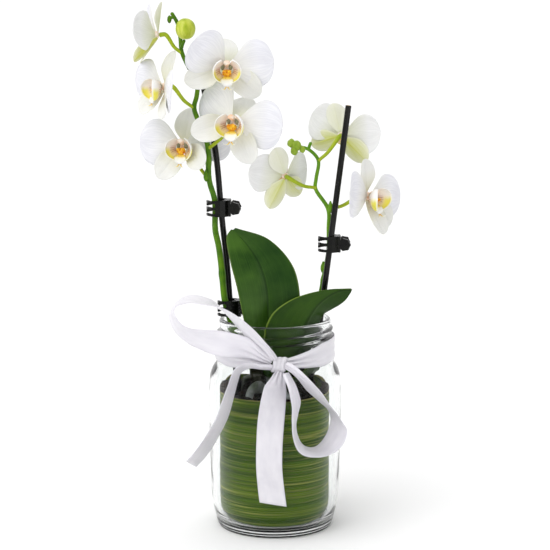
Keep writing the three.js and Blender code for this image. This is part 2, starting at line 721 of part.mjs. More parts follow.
const RIBBON = {
  ribbon_loop_left: [
    { at: [-0.2, -42.3, 113.7], side: [0.48, -0.69, 0.55], width: 5 },
    { at: [-5.7, -45, 121.2], side: [0.42, -0.82, 0.38], width: 11 },
    { at: [-12.2, -45.4, 127.6], side: [0.42, -0.82, 0.38], width: 15 },
    { at: [-20.8, -43.6, 135.8], side: [0.34, -0.88, 0.33], width: 16 },
    { at: [-30.7, -39.6, 143], side: [0.18, -0.96, 0.2], width: 16 },
    { at: [-41.4, -35, 147.4], side: [-0.02, -0.99, -0.1], width: 16 },
    { at: [-52, -31, 148.3], side: [0.02, -0.98, -0.12], width: 16 },
    { at: [-59, -30, 145.2], side: [0.06, -0.99, 0.02], width: 16 },
    { at: [-61.8, -31, 139.4], side: [0.24, -0.93, 0.26], width: 16 },
    { at: [-58.4, -33, 131.5], side: [0.34, -0.85, 0.4], width: 16 },
    { at: [-51.9, -35.4, 127], side: [0.27, -0.72, 0.64], width: 16 },
    { at: [-42.2, -38.4, 124.6], side: [0.14, -0.44, 0.88], width: 16 },
    { at: [-30.7, -40.4, 122.8], side: [0.11, -0.1, 0.99], width: 16 },
    { at: [-18.2, -41, 120.6], side: [0.14, -0.25, 0.96], width: 14 },
    { at: [-9.4, -41, 115.8], side: [0.2, -0.35, 0.9], width: 8 },
    { at: [-1.8, -40.7, 112.1], side: [0.2, -0.45, 0.85], width: 4.5 },
  ],
  ribbon_loop_right: [
    { at: [6.5, -42.6, 110.4], side: [0.3, -0.68, 0.67], width: 5 },
    { at: [11, -45, 108], side: [0.26, -0.82, 0.51], width: 9 },
    { at: [16, -46.4, 103.5], side: [0.23, -0.86, 0.46], width: 14 },
    { at: [22.3, -46, 96.3], side: [0.28, -0.87, 0.41], width: 16 },
    { at: [29.4, -42.6, 87.2], side: [0.33, -0.94, 0.16], width: 16 },
    { at: [35.8, -38, 78.8], side: [0.43, -0.89, -0.1], width: 16 },
    { at: [38.4, -35.4, 70.6], side: [0.6, -0.74, -0.26], width: 16 },
    { at: [35.2, -37, 62], side: [0.58, -0.78, -0.22], width: 16 },
    { at: [28.4, -40.6, 57.1], side: [0.44, -0.89, -0.12], width: 16 },
    { at: [20.6, -45.4, 58.2], side: [0.26, -0.95, -0.16], width: 16 },
    { at: [14, -49.6, 63.8], side: [0.02, -0.93, -0.37], width: 16 },
    { at: [11.6, -51, 72.3], side: [-0.12, -0.95, -0.28], width: 16 },
    { at: [11.8, -51, 80.3], side: [-0.24, -0.96, -0.12], width: 16 },
    { at: [12.6, -49.6, 89.2], side: [-0.36, -0.93, 0], width: 15 },
    { at: [10.8, -46.6, 97.3], side: [-0.45, -0.89, 0.1], width: 10 },
    { at: [6.5, -42.9, 105.6], side: [-0.55, -0.82, 0.15], width: 5 },
  ],
  ribbon_tail_left: [
    { at: [-1.7, -41.1, 108.9], side: [0.07, -0.84, 0.54], width: 4.5 },
    { at: [-8.4, -42.4, 109.4], side: [0.02, -0.9, 0.42], width: 8 },
    { at: [-15.6, -43.4, 110.4], side: [-0.06, -0.88, 0.46], width: 12 },
    { at: [-21.8, -44.4, 107.6], side: [-0.22, -0.9, 0.36], width: 16 },
    { at: [-25.2, -44.6, 99.4], side: [-0.38, -0.92, 0], width: 16 },
    { at: [-27.7, -43.4, 91.4], side: [-0.44, -0.89, -0.04], width: 16 },
    { at: [-31.9, -39.4, 77.5], side: [-0.44, -0.88, 0.15], width: 16 },
    { at: [-37.9, -35, 65], side: [-0.42, -0.86, 0.28], width: 16 },
    { at: [-45, -31.4, 53.1], side: [-0.43, -0.83, 0.35], width: 16 },
    { at: [-52.9, -28, 43.3], side: [-0.36, -0.82, 0.42], width: 16 },
  ],
  ribbon_tail_center: [
    { at: [2.6, -41.5, 106.2], side: [-0.9, -0.44, 0], width: 5 },
    { at: [1.7, -43.6, 101.6], side: [-0.84, -0.54, 0], width: 11 },
    { at: [0.1, -44.6, 96], side: [-0.86, -0.5, 0.04], width: 16 },
    { at: [-1.6, -45, 83.9], side: [-0.97, -0.22, 0.04], width: 16 },
    { at: [-3.1, -44.8, 67.2], side: [-0.98, 0.14, -0.02], width: 16 },
    { at: [-3.5, -44.2, 47.5], side: [-0.98, 0.18, 0], width: 16 },
    { at: [-2.4, -43.4, 34.4], side: [-0.98, 0.12, 0.1], width: 16 },
    { at: [-0.9, -43, 22.1], side: [-0.96, 0.05, 0.28], width: 16 },
  ],
  ribbon_neck_band: neckStations(),
};

// The band starts at the knot's right side, runs round the neck and ends at its left side
function neckStations() {
  const middleZ = 113.2;
  const bandR = 36.8;
  const sweep = 345;
  const stations = [];
  const from = THREE.MathUtils.degToRad(-90);
  for (let i = 0; i <= 24; i += 1) {
    const share = i / 24;
    const angle = from + THREE.MathUtils.degToRad(9.2 + share * sweep);
    const near = Math.min(share, 1 - share) * sweep;
    const spread = Math.min(0.9, 0.34 + near / 75);
    const r = bandR + 1.9 * Math.max(0, 1 - near / 40);
    stations.push({
      at: [Math.cos(angle) * r, Math.sin(angle) * r, middleZ - 3 * Math.max(0, 1 - near / 60)],
      side: [0, 0, 1],
      width: RIBBON_WIDTH * spread,
    });
  }
  return stations;
}

// A strip's cut end may slant: its v = 1 edge is then shorter than the other by that share
function strip(stations, slant) {
  const centre = route(stations.map(({ at }) => at));
  const sides = route(stations.map(({ side }) => side));
  const widths = route(stations.map(({ width }, i) => [width, i, 0]));
  const columns = Math.max(18, stations.length);
  return blade(columns, 1, (u, v) => {
    const at = u * (1 - slant * v);
    const along = centre.getTangent(at);
    const side = sides.getPoint(at);
    side.addScaledVector(along, -side.dot(along)).normalize();
    return centre.getPoint(at).addScaledVector(side, (v - 0.5) * widths.getPoint(at).x);
  }, RIBBON_THICK);
}

// The knot is a folded lump wrapped once round by the ribbon
function knot() {
  const lump = ellipsoid([0, 0, 0], [4.3, 2.7, 4.4], 1);
  const wrap = new THREE.TorusGeometry(3.1, 1.25, 4, 9);
  wrap.scale(1, 1.1, 1);
  wrap.rotateX(Math.PI / 2);
  wrap.rotateY(0.5);
  const ball = fuse([lump, wrap]);
  ball.translate(2.4, -39.7, 110.2);
  return ball;
}

// Assembly

const model = new THREE.Group();

function add(name, geometry, color, roughness, extra = {}) {
  const material = new THREE.MeshStandardMaterial({ color, roughness, metalness: 0, ...extra });
  const mesh = new THREE.Mesh(geometry, material);
  mesh.name = name;
  model.add(mesh);
  return mesh;
}

add('jar', jar(), 0xe6ecec, 0.05, { transparent: true, opacity: 0.35 });
add('lining_leaf', lining(), 0x4f7a2a, 0.45);
add('bark', bark(), 0x3a2a1e, 0.95);
add('crown_roots', crown(), 0x5a6a44, 0.7);
for (const name of Object.keys(LEAVES)) {
  add(name, leaf(name), 0x2f5a22, 0.4);
}
for (const side of ['left', 'right']) {
  add(`spike_${side}`, spike(side), 0x4d8a24, 0.5);
  add(`stake_${side}`, stake(side), 0x141414, 0.4);
}
add('bud_left', closedBud(), 0xa3b83c, 0.45);
BLOOMS.forEach((flower, i) => {
  const bloom = add(`bloom_${i + 1}`, bloomBody(flower), 0xf6f6f2, 0.55);
  const lip = add(`lip_${i + 1}`, lipBody(flower), 0xf0b52c, 0.5);
  for (const mesh of [bloom, lip]) {
    mesh.applyMatrix4(flowerMatrix(flower));
  }
});
for (const clip of CLIPS) {
  const back = add(`${clip.name}_back`, jaw(clip, false), 0x161616, 0.4);
  const front = add(`${clip.name}_front`, jaw(clip, true), 0x161616, 0.4);
  const spring = add(`${clip.name}_spring`, clipSpring(clip), 0x8a8d90, 0.3, { metalness: 1 });
  for (const mesh of [back, front, spring]) {
    mesh.position.set(...clip.at);
  }
}
for (const [name, stations] of Object.entries(RIBBON)) {
  add(name, strip(stations, name.includes('tail') ? TAIL_SLANT : 0), 0xf7f5f6, 0.35);
}
add('ribbon_knot', knot(), 0xf7f5f6, 0.35);

export default model;
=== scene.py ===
# Looks of the moth orchid in its jar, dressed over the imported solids.
# Sizes and places are in millimetres, and the meshes are stored in metres, +Z up.
import math

import bmesh
import bpy
import numpy as np
from mathutils import Matrix, Vector


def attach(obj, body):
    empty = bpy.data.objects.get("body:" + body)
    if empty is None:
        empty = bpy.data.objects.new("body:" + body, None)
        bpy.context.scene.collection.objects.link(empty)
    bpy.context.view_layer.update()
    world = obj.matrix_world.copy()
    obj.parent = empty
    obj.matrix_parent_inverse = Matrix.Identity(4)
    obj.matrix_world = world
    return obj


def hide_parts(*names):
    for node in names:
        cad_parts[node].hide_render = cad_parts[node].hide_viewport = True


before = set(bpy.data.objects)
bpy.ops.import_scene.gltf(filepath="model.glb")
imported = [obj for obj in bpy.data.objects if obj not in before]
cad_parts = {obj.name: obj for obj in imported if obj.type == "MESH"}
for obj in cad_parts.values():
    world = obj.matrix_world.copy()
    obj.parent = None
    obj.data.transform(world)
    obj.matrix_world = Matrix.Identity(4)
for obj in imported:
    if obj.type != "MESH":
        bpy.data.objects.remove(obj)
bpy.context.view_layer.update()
ROOT = "plant_in_jar"
MM = 0.001

# Sizes shared with the solids, in millimetres
GAP = 0.3
JAR_HEIGHT = 131
BELLY_R = 40.9
NECK_Z = 108
NECK_R = 34
RIM_R = 34.4
MOUTH_R = 31
WALL = 3.4
FLOOR = 4.5
THREAD_LIFT = 1.7
LINING_R = 33.9
LINING_TOP = 86.5
SOIL_TOP = 82
CROWN_R = 8
RIBBON_WIDTH = 16
TAIL_SLANT = 0.05
STAKE_R = 1.85
PETAL_LENGTH = 29
PETAL_WIDTH = 29
SEPAL_LENGTH = 27
DORSAL_LENGTH = 24
SEPAL_WIDTH = 16
TEPAL_FOOT = 2

# The jar's thread, wound finer than in the solids
THREAD_PITCH = 4.6
THREAD_LOW_Z = 115.6
THREAD_TURNS = 2.1
THREAD_HALF = 1.15
THREAD_FADE = 0.1

# Thicknesses, less than the solids need
LINING_THICK = 0.7
LEAF_THICK = 1.2
PETAL_THICK = 0.55
SEPAL_THICK = 0.6
LOBE_THICK = 0.55
MIDDLE_THICK = 0.6
RIBBON_THICK = 0.5
WRAP_THICK = 0.4

# Camera and light, with places and lengths in metres
PHOTO_PX = 550
FOCAL_PX = 2005
SENSOR_MM = 36
CAMERA_PLACE = (0, -1.2105, 0.377)
CAMERA_DOWN_DEG = 10.28
CLIP_NEAR = 0.05
CLIP_FAR = 50
FLOOR_HALF = 30.0
WORLD_FRONT = 0.4
WORLD_BACK = 1.2
# Each lamp's name, kind, place, aim, size (the sun's is an angle) and power
LAMPS = [
    ("sun", "SUN", (-0.75, -0.9, 1.3), (0, 0, 0.16), math.radians(65), 1.6),
    ("key", "AREA", (-0.75, -0.9, 1.15), (0, 0, 0.16), 0.6, 2),
    ("fill", "AREA", (0.9, -1.15, 0.25), (0, 0, 0.14), 0.8, 3),
]


# Curves and meshes

def spline(points, t):
    """Points of a centripetal spline at the shares t, each control point an equal share apart."""
    p = np.array(points, float)
    place = np.clip(t, 0, 1) * (len(p) - 1)
    i = np.minimum(place.astype(int), len(p) - 2)
    w = (place - i)[:, None]
    ends = np.vstack([2 * p[0] - p[1], p, 2 * p[-1] - p[-2]])
    a, b, c, d = ends[i], ends[i + 1], ends[i + 2], ends[i + 3]

    def apart(x, y):
        return np.maximum(np.sum((x - y) ** 2, 1) ** 0.25, 1e-4)[:, None]

    ab, bc, cd = apart(a, b), apart(b, c), apart(c, d)
    leave = ((b - a) / ab - (c - a) / (ab + bc) + (c - b) / bc) * bc
    reach = ((c - b) / bc - (d - b) / (bc + cd) + (d - c) / cd) * bc
    cubic = 2 * b - 2 * c + leave + reach
    square = -3 * b + 3 * c - 2 * leave - reach
    return ((cubic * w + square) * w + leave) * w + b


def even(points, count):
    """Points of the spline that lie equally far apart along it."""
    fine = spline(points, np.linspace(0, 1, 600))
    travel = np.concatenate([[0], np.cumsum(np.linalg.norm(np.diff(fine, axis=0), axis=1))])
    at = np.linspace(0, travel[-1], count)
    return np.stack([np.interp(at, travel, fine[:, k]) for k in range(3)], 1)


def unit(v):
    return v / np.maximum(np.linalg.norm(v, axis=-1, keepdims=True), 1e-9)


def taken(mesh):
    """The points and faces of a mesh under edit, which is freed."""
    points = np.array([v.co for v in mesh.verts])
    faces = [[v.index for v in f.verts] for f in mesh.faces]
    mesh.free()
    return points, faces


def tube(rings, sides):
    """The faces of a tube that is open at both ends, its points ring by ring."""
    return [(i * sides + k, i * sides + (k + 1) % sides, (i + 1) * sides + (k + 1) % sides,
             (i + 1) * sides + k) for i in range(rings - 1) for k in range(sides)]


def added(name, data):
    """A new object in the scene."""
    made = bpy.data.objects.new(name, data)
    bpy.context.scene.collection.objects.link(made)
    return made


class Pile:
    """Closed shapes gathered in millimetres, then made into one object in metres."""

    def __init__(self):
        self.points, self.faces, self.maps, self.marks, self.count = [], [], [], [], 0

    def put(self, points, faces, maps=None, marks=0):
        points = np.asarray(points, float)
        self.points.append(points)
        self.maps.append(np.zeros((len(points), 2)) if maps is None else np.asarray(maps))
        self.faces += [tuple(int(i) + self.count for i in f) for f in faces]
        self.marks += list(marks) if hasattr(marks, "__len__") else [marks] * len(faces)
        self.count += len(points)

    def blade(self, columns, rows, surface, thick, marks=(0, 0)):
        """A thin closed sheet whose middle is surface(u, v); marks are its two faces' slots."""
        u, v = [g.ravel() for g in np.meshgrid(
            np.linspace(0, 1, columns + 1), np.linspace(0, 1, rows + 1), indexing="ij")]
        step = 1e-3
        middle = surface(u, v)
        along = surface(np.minimum(u + step, 1), v) - surface(np.maximum(u - step, 0), v)
        across = surface(u, np.minimum(v + step, 1)) - surface(u, np.maximum(v - step, 0))
        edge = np.minimum(np.minimum(u, 1 - u) * columns, np.minimum(v, 1 - v) * rows)
        half = thick / 2 * np.clip(0.35 + 0.5 * edge, 0, 1)[:, None]
        normal = unit(np.cross(along, across)) * half
        n = len(u)

        def at(i, j, side):
            return side * n + i * (rows + 1) + j

        faces, slots = [], []
        for i in range(columns):
            for j in range(rows):
                ring = [(i, j), (i + 1, j), (i + 1, j + 1), (i, j + 1)]
                faces.append([at(*c, 0) for c in ring])
                faces.append([at(*c, 1) for c in reversed(ring)])
                slots += list(marks)
        border = [(i, 0) for i in range(columns)] + [(columns, j) for j in range(rows)]
        border += [(i, rows) for i in range(columns, 0, -1)] + [(0, j) for j in range(rows, 0, -1)]
        for c, d in zip(border, border[1:] + border[:1]):
            faces.append([at(*d, 0), at(*c, 0), at(*c, 1), at(*d, 1)])
            slots.append(marks[0])
        maps = np.tile(np.stack([u, v], 1), (2, 1))
        self.put(np.vstack([middle + normal, middle - normal]), faces, maps, slots)

    def limb(self, points, radius, sides, steps, mark=0, round_ends=0.0):
        """A closed stem along a spline; radius is a number or a rule of the share along it."""
        t = np.linspace(0, 1, steps + 1)
        if round_ends:
            t = 0.5 - 0.5 * np.cos(np.pi * t)
        dense = even(points, 400)
        centre = np.stack([np.interp(t, np.linspace(0, 1, 400), dense[:, k]) for k in range(3)], 1)
        tangent = unit(np.gradient(centre, axis=0))
        side = unit(np.cross(tangent[0], [0.31, 0.87, 0.17]))
        rings = []
        length = np.linalg.norm(np.diff(dense, axis=0), axis=1).sum()
        for i, share in enumerate(t):
            side = unit(side - tangent[i] * np.dot(side, tangent[i]))
            other = np.cross(tangent[i], side)
            r = radius(share) if callable(radius) else radius
            if round_ends:
                near = min(share, 1 - share) * length / (round_ends * r)
                r *= math.sqrt(max(0.0025, 1 - max(0, 1 - near) ** 2))
            angle = np.linspace(0, 2 * np.pi, sides, endpoint=False)
            rings.append(centre[i] + r * (np.outer(np.cos(angle), side)
                                          + np.outer(np.sin(angle), other)))
        faces = tube(steps + 1, sides)
        faces += [list(range(sides))[::-1], [steps * sides + k for k in range(sides)]]
        maps = [[share, k / sides] for share in t for k in range(sides)]
        self.put(np.vstack(rings), faces, maps, mark)

    def turned(self, profile, sides, relief):
        """A body turned about Z from a profile (radius, z) that starts and ends on the axis."""
        points = []
        for r, z in profile[1:-1]:
            for k in range(sides):
                angle = 2 * math.pi * k / sides
                out, high = relief(r, z, angle)
                points.append((out * math.cos(angle), out * math.sin(angle), high))
        faces = tube(len(profile) - 2, sides)
        count, last = len(points), len(points) - sides
        for k in range(sides):
            n = (k + 1) % sides
            faces += [(count, n, k), (count + 1, last + k, last + n)]
        self.put(points + [(0, 0, profile[0][1]), (0, 0, profile[-1][1])], faces)

    def ball(self, centre, radii, turn=None, bump=0.0, seed=0.0, mark=0):
        """A rounded lump, roughened by a slow wave where bump is not zero."""
        mesh = bmesh.new()
        bmesh.ops.create_icosphere(mesh, subdivisions=3, radius=1)
        points, faces = taken(mesh)
        if bump:
            wave = np.sin(points[:, 0] * 5.1 + seed) * np.sin(points[:, 1] * 4.3 + seed * 1.7)
            wave = wave + 0.6 * np.sin(points[:, 2] * 7.7 + points[:, 0] * 3.1 + seed * 0.6)
            points = points * (1 + bump * wave[:, None])
        maps = np.stack([points[:, 2] * 0.5 + 0.5, np.arctan2(points[:, 1], points[:, 0])], 1)
        points = points * np.array(radii, float)
        if turn is not None:
            points = points @ np.array(turn, float).T
        self.put(points + np.array(centre, float), faces, maps, mark)

    def object(self, name, materials, place=None):
        """The pile as one object, moved by the matrix place where one is given."""
        points = np.vstack(self.points)
        if place is not None:
            points = points @ place[:3, :3].T + place[:3, 3]
        mesh = bpy.data.meshes.new(name)
        mesh.from_pydata((points * MM).tolist(), [], self.faces)
        for material in materials:
            mesh.materials.append(material)
        mesh.polygons.foreach_set("material_index", self.marks)
        mesh.polygons.foreach_set("use_smooth", [True] * len(self.faces))
        layer = mesh.uv_layers.new(name="UVMap")
        corners = np.zeros(len(mesh.loops), int)
        mesh.loops.foreach_get("vertex_index", corners)
        layer.data.foreach_set("uv", np.vstack(self.maps)[corners].ravel())
        tidy = bmesh.new()
        tidy.from_mesh(mesh)
        bmesh.ops.recalc_face_normals(tidy, faces=tidy.faces)
        tidy.to_mesh(mesh)
        tidy.free()
        return added(name, mesh)


def settle(piece, slot, *nodes):
    """Ties a piece to the plant, and hides the solids that it stands for. The slot is not used."""
    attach(piece, ROOT)
    if nodes:
        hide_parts(*nodes)
    return piece


# Materials

class Shade:
    """A material whose colour, gloss and relief come from nodes."""

    def __init__(self, name, rough=0.5, specular=0.5, **values):
        self.material = bpy.data.materials.new(name)
        self.material.use_nodes = True
        self.tree = self.material.node_tree
        self.skin = self.tree.nodes["Principled BSDF"]
        values.update(Roughness=rough, Specular_IOR_Level=specular)
        for key, value in values.items():
            self.skin.inputs[key.replace("_", " ")].default_value = value
        place = self.tree.nodes.new("ShaderNodeTexCoord").outputs
        self.solid, self.flat = place["Object"], place["UV"]

    def node(self, kind, inputs, **settings):
        made = self.tree.nodes.new(kind)
        for key, value in settings.items():
            setattr(made, key, value)
        for key, value in inputs.items():
            if isinstance(value, bpy.types.NodeSocket):
                self.tree.links.new(value, made.inputs[key])
            else:
                made.inputs[key].default_value = value
        return made

    def math(self, operation, a, b=0.0):
        return self.node("ShaderNodeMath", {0: a, 1: b}, operation=operation).outputs[0]

    def times(self, a, b):
        return self.math("MULTIPLY", a, b)

    def parts(self, vector):
        return self.node("ShaderNodeSeparateXYZ", {0: vector}).outputs

    def from_middle(self, across):
        return self.math("ABSOLUTE", self.math("SUBTRACT", across, 0.5))

    def noise(self, scale, detail, place=None, rough=0.55):
        """Noise in the object's own axes, or at another place; three scales stretch it."""
        place = self.solid if place is None else place
        if isinstance(scale, tuple):
            place = self.node("ShaderNodeMapping", {0: place, 3: scale}).outputs[0]
            scale = 1.0
        return self.node("ShaderNodeTexNoise", {
            "Vector": place, "Scale": scale, "Detail": detail, "Roughness": rough}).outputs["Fac"]

    def ramp(self, value, *stops):
        made = self.node("ShaderNodeValToRGB", {0: value})
        band = made.color_ramp
        while len(band.elements) < len(stops):
            band.elements.new(0.5)
        for element, (at, colour) in zip(band.elements, stops):
            element.position = at
            element.color = (*colour, 1) if isinstance(colour, tuple) else (colour,) * 3 + (1,)
        return made.outputs[0]

    def mix(self, share, a, b):
        a, b = [(*c, 1) if isinstance(c, tuple) else c for c in (a, b)]
        return self.node("ShaderNodeMix", {0: share, 6: a, 7: b}, data_type="RGBA").outputs[2]

    def feed(self, name, socket):
        self.tree.links.new(socket, self.skin.inputs[name])

    def relief(self, height, strength, distance):
        made = self.node("ShaderNodeBump", {
            "Height": height, "Strength": strength, "Distance": distance})
        self.feed("Normal", made.outputs[0])

    def finish(self, colour, height, strength, distance):
        """Gives the material its colour and its relief, and returns it."""
        self.feed("Base Color", colour)
        self.relief(height, strength, distance)
        return self.material


def mottled(name, rough, specular, scale, detail, stops, strength, distance, grit=0.55, **values):
    """A material of one noise, which gives both its colour and its relief."""
    shade = Shade(name, rough, specular, **values)
    patch = shade.noise(scale, detail, rough=grit)
    return shade.finish(shade.ramp(patch, *stops), patch, strength, distance)


def glass():
    """Clear glass, less reflecting than real glass, so that the greens in it stay dark."""
    shade = Shade("jar_glass", Base_Color=(0.93, 0.945, 0.94, 1), IOR=1.47,
                  Transmission_Weight=1.0, Specular_Tint=(0.15, 0.15, 0.15, 1))
    streak = shade.noise((60, 60, 9), 2)
    shade.feed("Roughness", shade.ramp(streak, (0.3, 0.0), (0.8, 0.012)))
    shade.relief(shade.noise(26, 2), 0.12, 0.004)
    return shade.material


def lining_skin():
    """A strip of leaf: green, with thin pale veins round the jar, painted shade over its upper part
    and a yellow edge at its top.
    """
    shade = Shade("lining_leaf", 0.5, 0.12)
    height = shade.parts(shade.solid)[2]

    def above(z, rise):
        grown = shade.times(shade.math("SUBTRACT", height, z * MM), rise)
        return shade.node("ShaderNodeClamp", {0: grown}).outputs[0]

    broad = shade.noise((3.5, 3.5, 130), 3)
    line = shade.ramp(shade.noise((3, 3, 360), 1.5), (0.478, 0.0), (0.5, 1.0), (0.522, 0.0))
    fine = shade.noise((3, 3, 900), 1)
    tone = shade.ramp(broad, (0.32, (0.02, 0.055, 0.002)), (0.45, (0.07, 0.145, 0.006)),
                      (0.55, (0.12, 0.215, 0.01)), (0.68, (0.24, 0.33, 0.025)))
    tone = shade.mix(shade.times(line, 0.75), tone, (0.52, 0.52, 0.13))
    tone = shade.mix(shade.ramp(fine, (0.42, 0.0), (0.62, 0.6)), tone, (0.035, 0.075, 0.004))
    # Painted shade: patches of the strip darken more towards its top, from 16.5 mm below it upwards.
    painted_top_shade = shade.times(above(LINING_TOP - 16.5, 80), shade.ramp(broad, (0.4, 0.45), (0.6, 0.1)))
    tone = shade.mix(painted_top_shade, tone, (0.025, 0.035, 0.008))
    edge = shade.times(above(LINING_TOP - 1.2, 1100), 0.75)
    tone = shade.mix(edge, tone, (0.42, 0.37, 0.12))
    return shade.finish(tone, shade.math("ADD", line, fine), 0.3, 0.0003)


def bark_skin(name, dark, light):
    return mottled(name, 0.9, 0.08, (160, 160, 520), 6,
                   [(0.32, dark), (0.55, light), (0.72, dark)], 0.9, 0.0008, grit=0.65)


def root_skin():
    shade = Shade("roots", 0.75)
    tone = shade.ramp(shade.noise(90, 4), (0.35, (0.07, 0.09, 0.05)), (0.5, (0.2, 0.22, 0.19)),
                      (0.68, (0.48, 0.5, 0.52)))
    return shade.finish(tone, shade.noise(1400, 3), 0.35, 0.0002)


def leaf_skin(name, deep, mid, rim):
    """A waxy leaf: painted shade over one half and in its midrib groove, fine lines along its length
    and a lighter margin.
    """
    shade = Shade(name, 0.34, 0.13, Coat_Weight=0.04, Coat_Roughness=0.2)
    across = shade.parts(shade.flat)[1]
    from_rib = shade.from_middle(across)
    tone = shade.ramp(shade.noise(42, 3), (0.3, deep), (0.7, mid))
    lines = shade.noise((1.6, 62, 1), 2, shade.flat)
    tone = shade.mix(shade.ramp(lines, (0.5, 0.0), (0.75, 0.35)), tone,
                     tuple(c * 1.7 + 0.004 for c in mid))
    # Painted shade: the half of the blade past the midrib is darkened towards the dark colour.
    tone = shade.mix(shade.ramp(across, (0.35, 0.0), (0.62, 0.5)), tone, deep)
    # Painted shade in the midrib groove; the same mask also sinks the groove in the relief.
    rib = shade.ramp(from_rib, (0.0, 1.0), (0.01, 0.75), (0.024, 0.0))
    tone = shade.mix(shade.times(rib, 0.45), tone, tuple(c * 0.4 for c in deep))
    margin = shade.ramp(from_rib, (0.47, 0.0), (0.49, 1.0))
    tone = shade.mix(shade.times(margin, 0.8), tone, rim)
    return shade.finish(tone, shade.math("ADD", lines, shade.times(rib, -0.3)), 0.3, 0.0004)


def stem_skin(name, low, high):
    shade = Shade(name, 0.4, 0.18)
    streak = shade.noise((900, 900, 40), 2)
    patch = shade.mix(0.35, shade.noise(120, 4), streak)
    return shade.finish(shade.ramp(patch, (0.3, low), (0.7, high)), streak, 0.12, 0.0002)


def stake_skin():
    shade = Shade("stake", specular=0.2)
    wear = shade.noise((500, 500, 60), 4)
    shade.feed("Roughness", shade.ramp(wear, (0.3, 0.12), (0.8, 0.32)))
    tone = shade.ramp(wear, (0.45, (0.003, 0.003, 0.003)), (0.8, (0.018, 0.018, 0.016)))
    return shade.finish(tone, wear, 0.12, 0.0004)


def wood_cut():
    return mottled("stake_cut", 0.85, 0.5, (2600, 2600, 300), 3,
                   [(0.3, (0.3, 0.2, 0.1)), (0.7, (0.62, 0.5, 0.33))], 0.4, 0.0002)


def clip_skin():
    shade = Shade("clip", specular=0.17)
    shade.feed("Roughness", shade.ramp(shade.noise(900, 3), (0.3, 0.16), (0.8, 0.4)))
    tone = shade.ramp(shade.noise(240, 4), (0.35, (0.001, 0.001, 0.001)),
                      (0.75, (0.006, 0.007, 0.004)))
    return shade.finish(tone, shade.noise(1500, 2), 0.08, 0.0002)


def spring_skin():
    return mottled("spring", 0.28, 0.5, 1800, 3,
                   [(0.3, (0.3, 0.3, 0.31)), (0.7, (0.6, 0.6, 0.6))], 0.1, 0.0001, Metallic=1.0)


def petal_skin(name, white, painted_shade_and_veins, foot, vein_share):
    """A soft petal: veins that fan out from the foot, soft patches of painted shade, and a tint that
    fades away from it.
    """
    shade = Shade(name, 0.6, 0.25, Subsurface_Weight=0.2,
                  Subsurface_Radius=(0.0012, 0.0012, 0.0012))
    along = shade.parts(shade.flat)[0]
    veins = shade.noise((2.2, 34, 1), 2, shade.flat)
    line = shade.ramp(veins, (0.46, 1.0), (0.5, 0.35), (0.62, 0.0))
    # Painted shade: soft grey lilac patches, in the colour that also draws the veins.
    tone = shade.mix(shade.ramp(shade.noise(60, 2), (0.3, 0.0), (0.75, 0.5)), white, painted_shade_and_veins)
    tone = shade.mix(shade.times(line, vein_share), tone, painted_shade_and_veins)
    tint = shade.ramp(along, (0.0, 1.0), (0.16, 0.55), (0.5, 0.0))
    return shade.finish(shade.mix(shade.times(tint, 0.8), tone, foot), veins, 0.4, 0.0005)


def sepal_back_skin(name, depth):
    """The outside of a sepal: cream with a green midrib that fades to the margins and tip."""
    shade = Shade(name, 0.55, 0.25)
    along, across = shade.parts(shade.flat)[:2]
    veins = shade.noise((1.6, 30, 1), 2, shade.flat)
    middle = shade.ramp(shade.from_middle(across), (0.0, 1.0), (0.05, 0.76), (0.3, 0.52),
                        (0.5, 0.16))
    length = shade.ramp(along, (0.0, 1.0), (0.45, 0.75), (1.0, 0.3))
    share = shade.times(shade.times(middle, length), depth)
    streak = shade.times(shade.ramp(veins, (0.42, 0.3), (0.6, 0.0)), depth * 0.5)
    tone = shade.mix(shade.math("ADD", share, streak), (0.81, 0.81, 0.74), (0.55, 0.57, 0.1))
    return shade.finish(tone, veins, 0.25, 0.0004)


def column_skin():
    return mottled("column", 0.45, 0.3, 320, 3,
                   [(0.35, (0.85, 0.52, 0.33)), (0.5, (0.86, 0.7, 0.58)),
                    (0.68, (0.88, 0.83, 0.77))], 0.1, 0.0002)


# Painted shade: a dark grey green for the balls set in the hollows beside each column.
def hollow_shade_skin():
    return mottled("hollow_shade", 0.6, 0.2, 500, 3,
                   [(0.35, (0.22, 0.23, 0.15)), (0.7, (0.36, 0.37, 0.26))], 0.15, 0.0002)


def lobe_skin():
    """A side lobe of the lip: white and pink above, yellow below, red brown marks at its foot."""
    shade = Shade("lip_lobe", 0.5, 0.3)
    along, across = shade.parts(shade.flat)[:2]
    warp = shade.times(shade.noise(5, 2, shade.flat), 0.14)
    height = shade.math("ADD", across, shade.math("SUBTRACT", warp, 0.07))
    upper = shade.ramp(along, (0.0, (0.8, 0.66, 0.57)), (0.4, (0.85, 0.78, 0.71)),
                       (0.8, (0.86, 0.85, 0.83)))
    lower = shade.ramp(along, (0.0, (0.82, 0.6, 0.36)), (0.35, (0.83, 0.7, 0.38)),
                       (0.55, (0.82, 0.74, 0.12)), (0.85, (0.8, 0.74, 0.09)),
                       (0.97, (0.86, 0.85, 0.7)))
    base = shade.mix(shade.ramp(height, (0.42, 0.0), (0.6, 1.0)), lower, upper)
    bars = shade.math("SINE", shade.times(height, 62))
    stripe = shade.ramp(bars, (0.0, 0.3), (0.4, 0.35), (0.85, 0.9))
    foot = shade.ramp(along, (0.05, 0.9), (0.28, 0.75), (0.42, 0.0))
    keep = shade.ramp(height, (0.2, 0.0), (0.3, 1.0), (0.55, 1.0), (0.7, 0.0))
    share = shade.times(shade.times(stripe, foot), keep)
    return shade.finish(shade.mix(share, base, (0.3, 0.07, 0.035)), bars, 0.1, 0.0002)


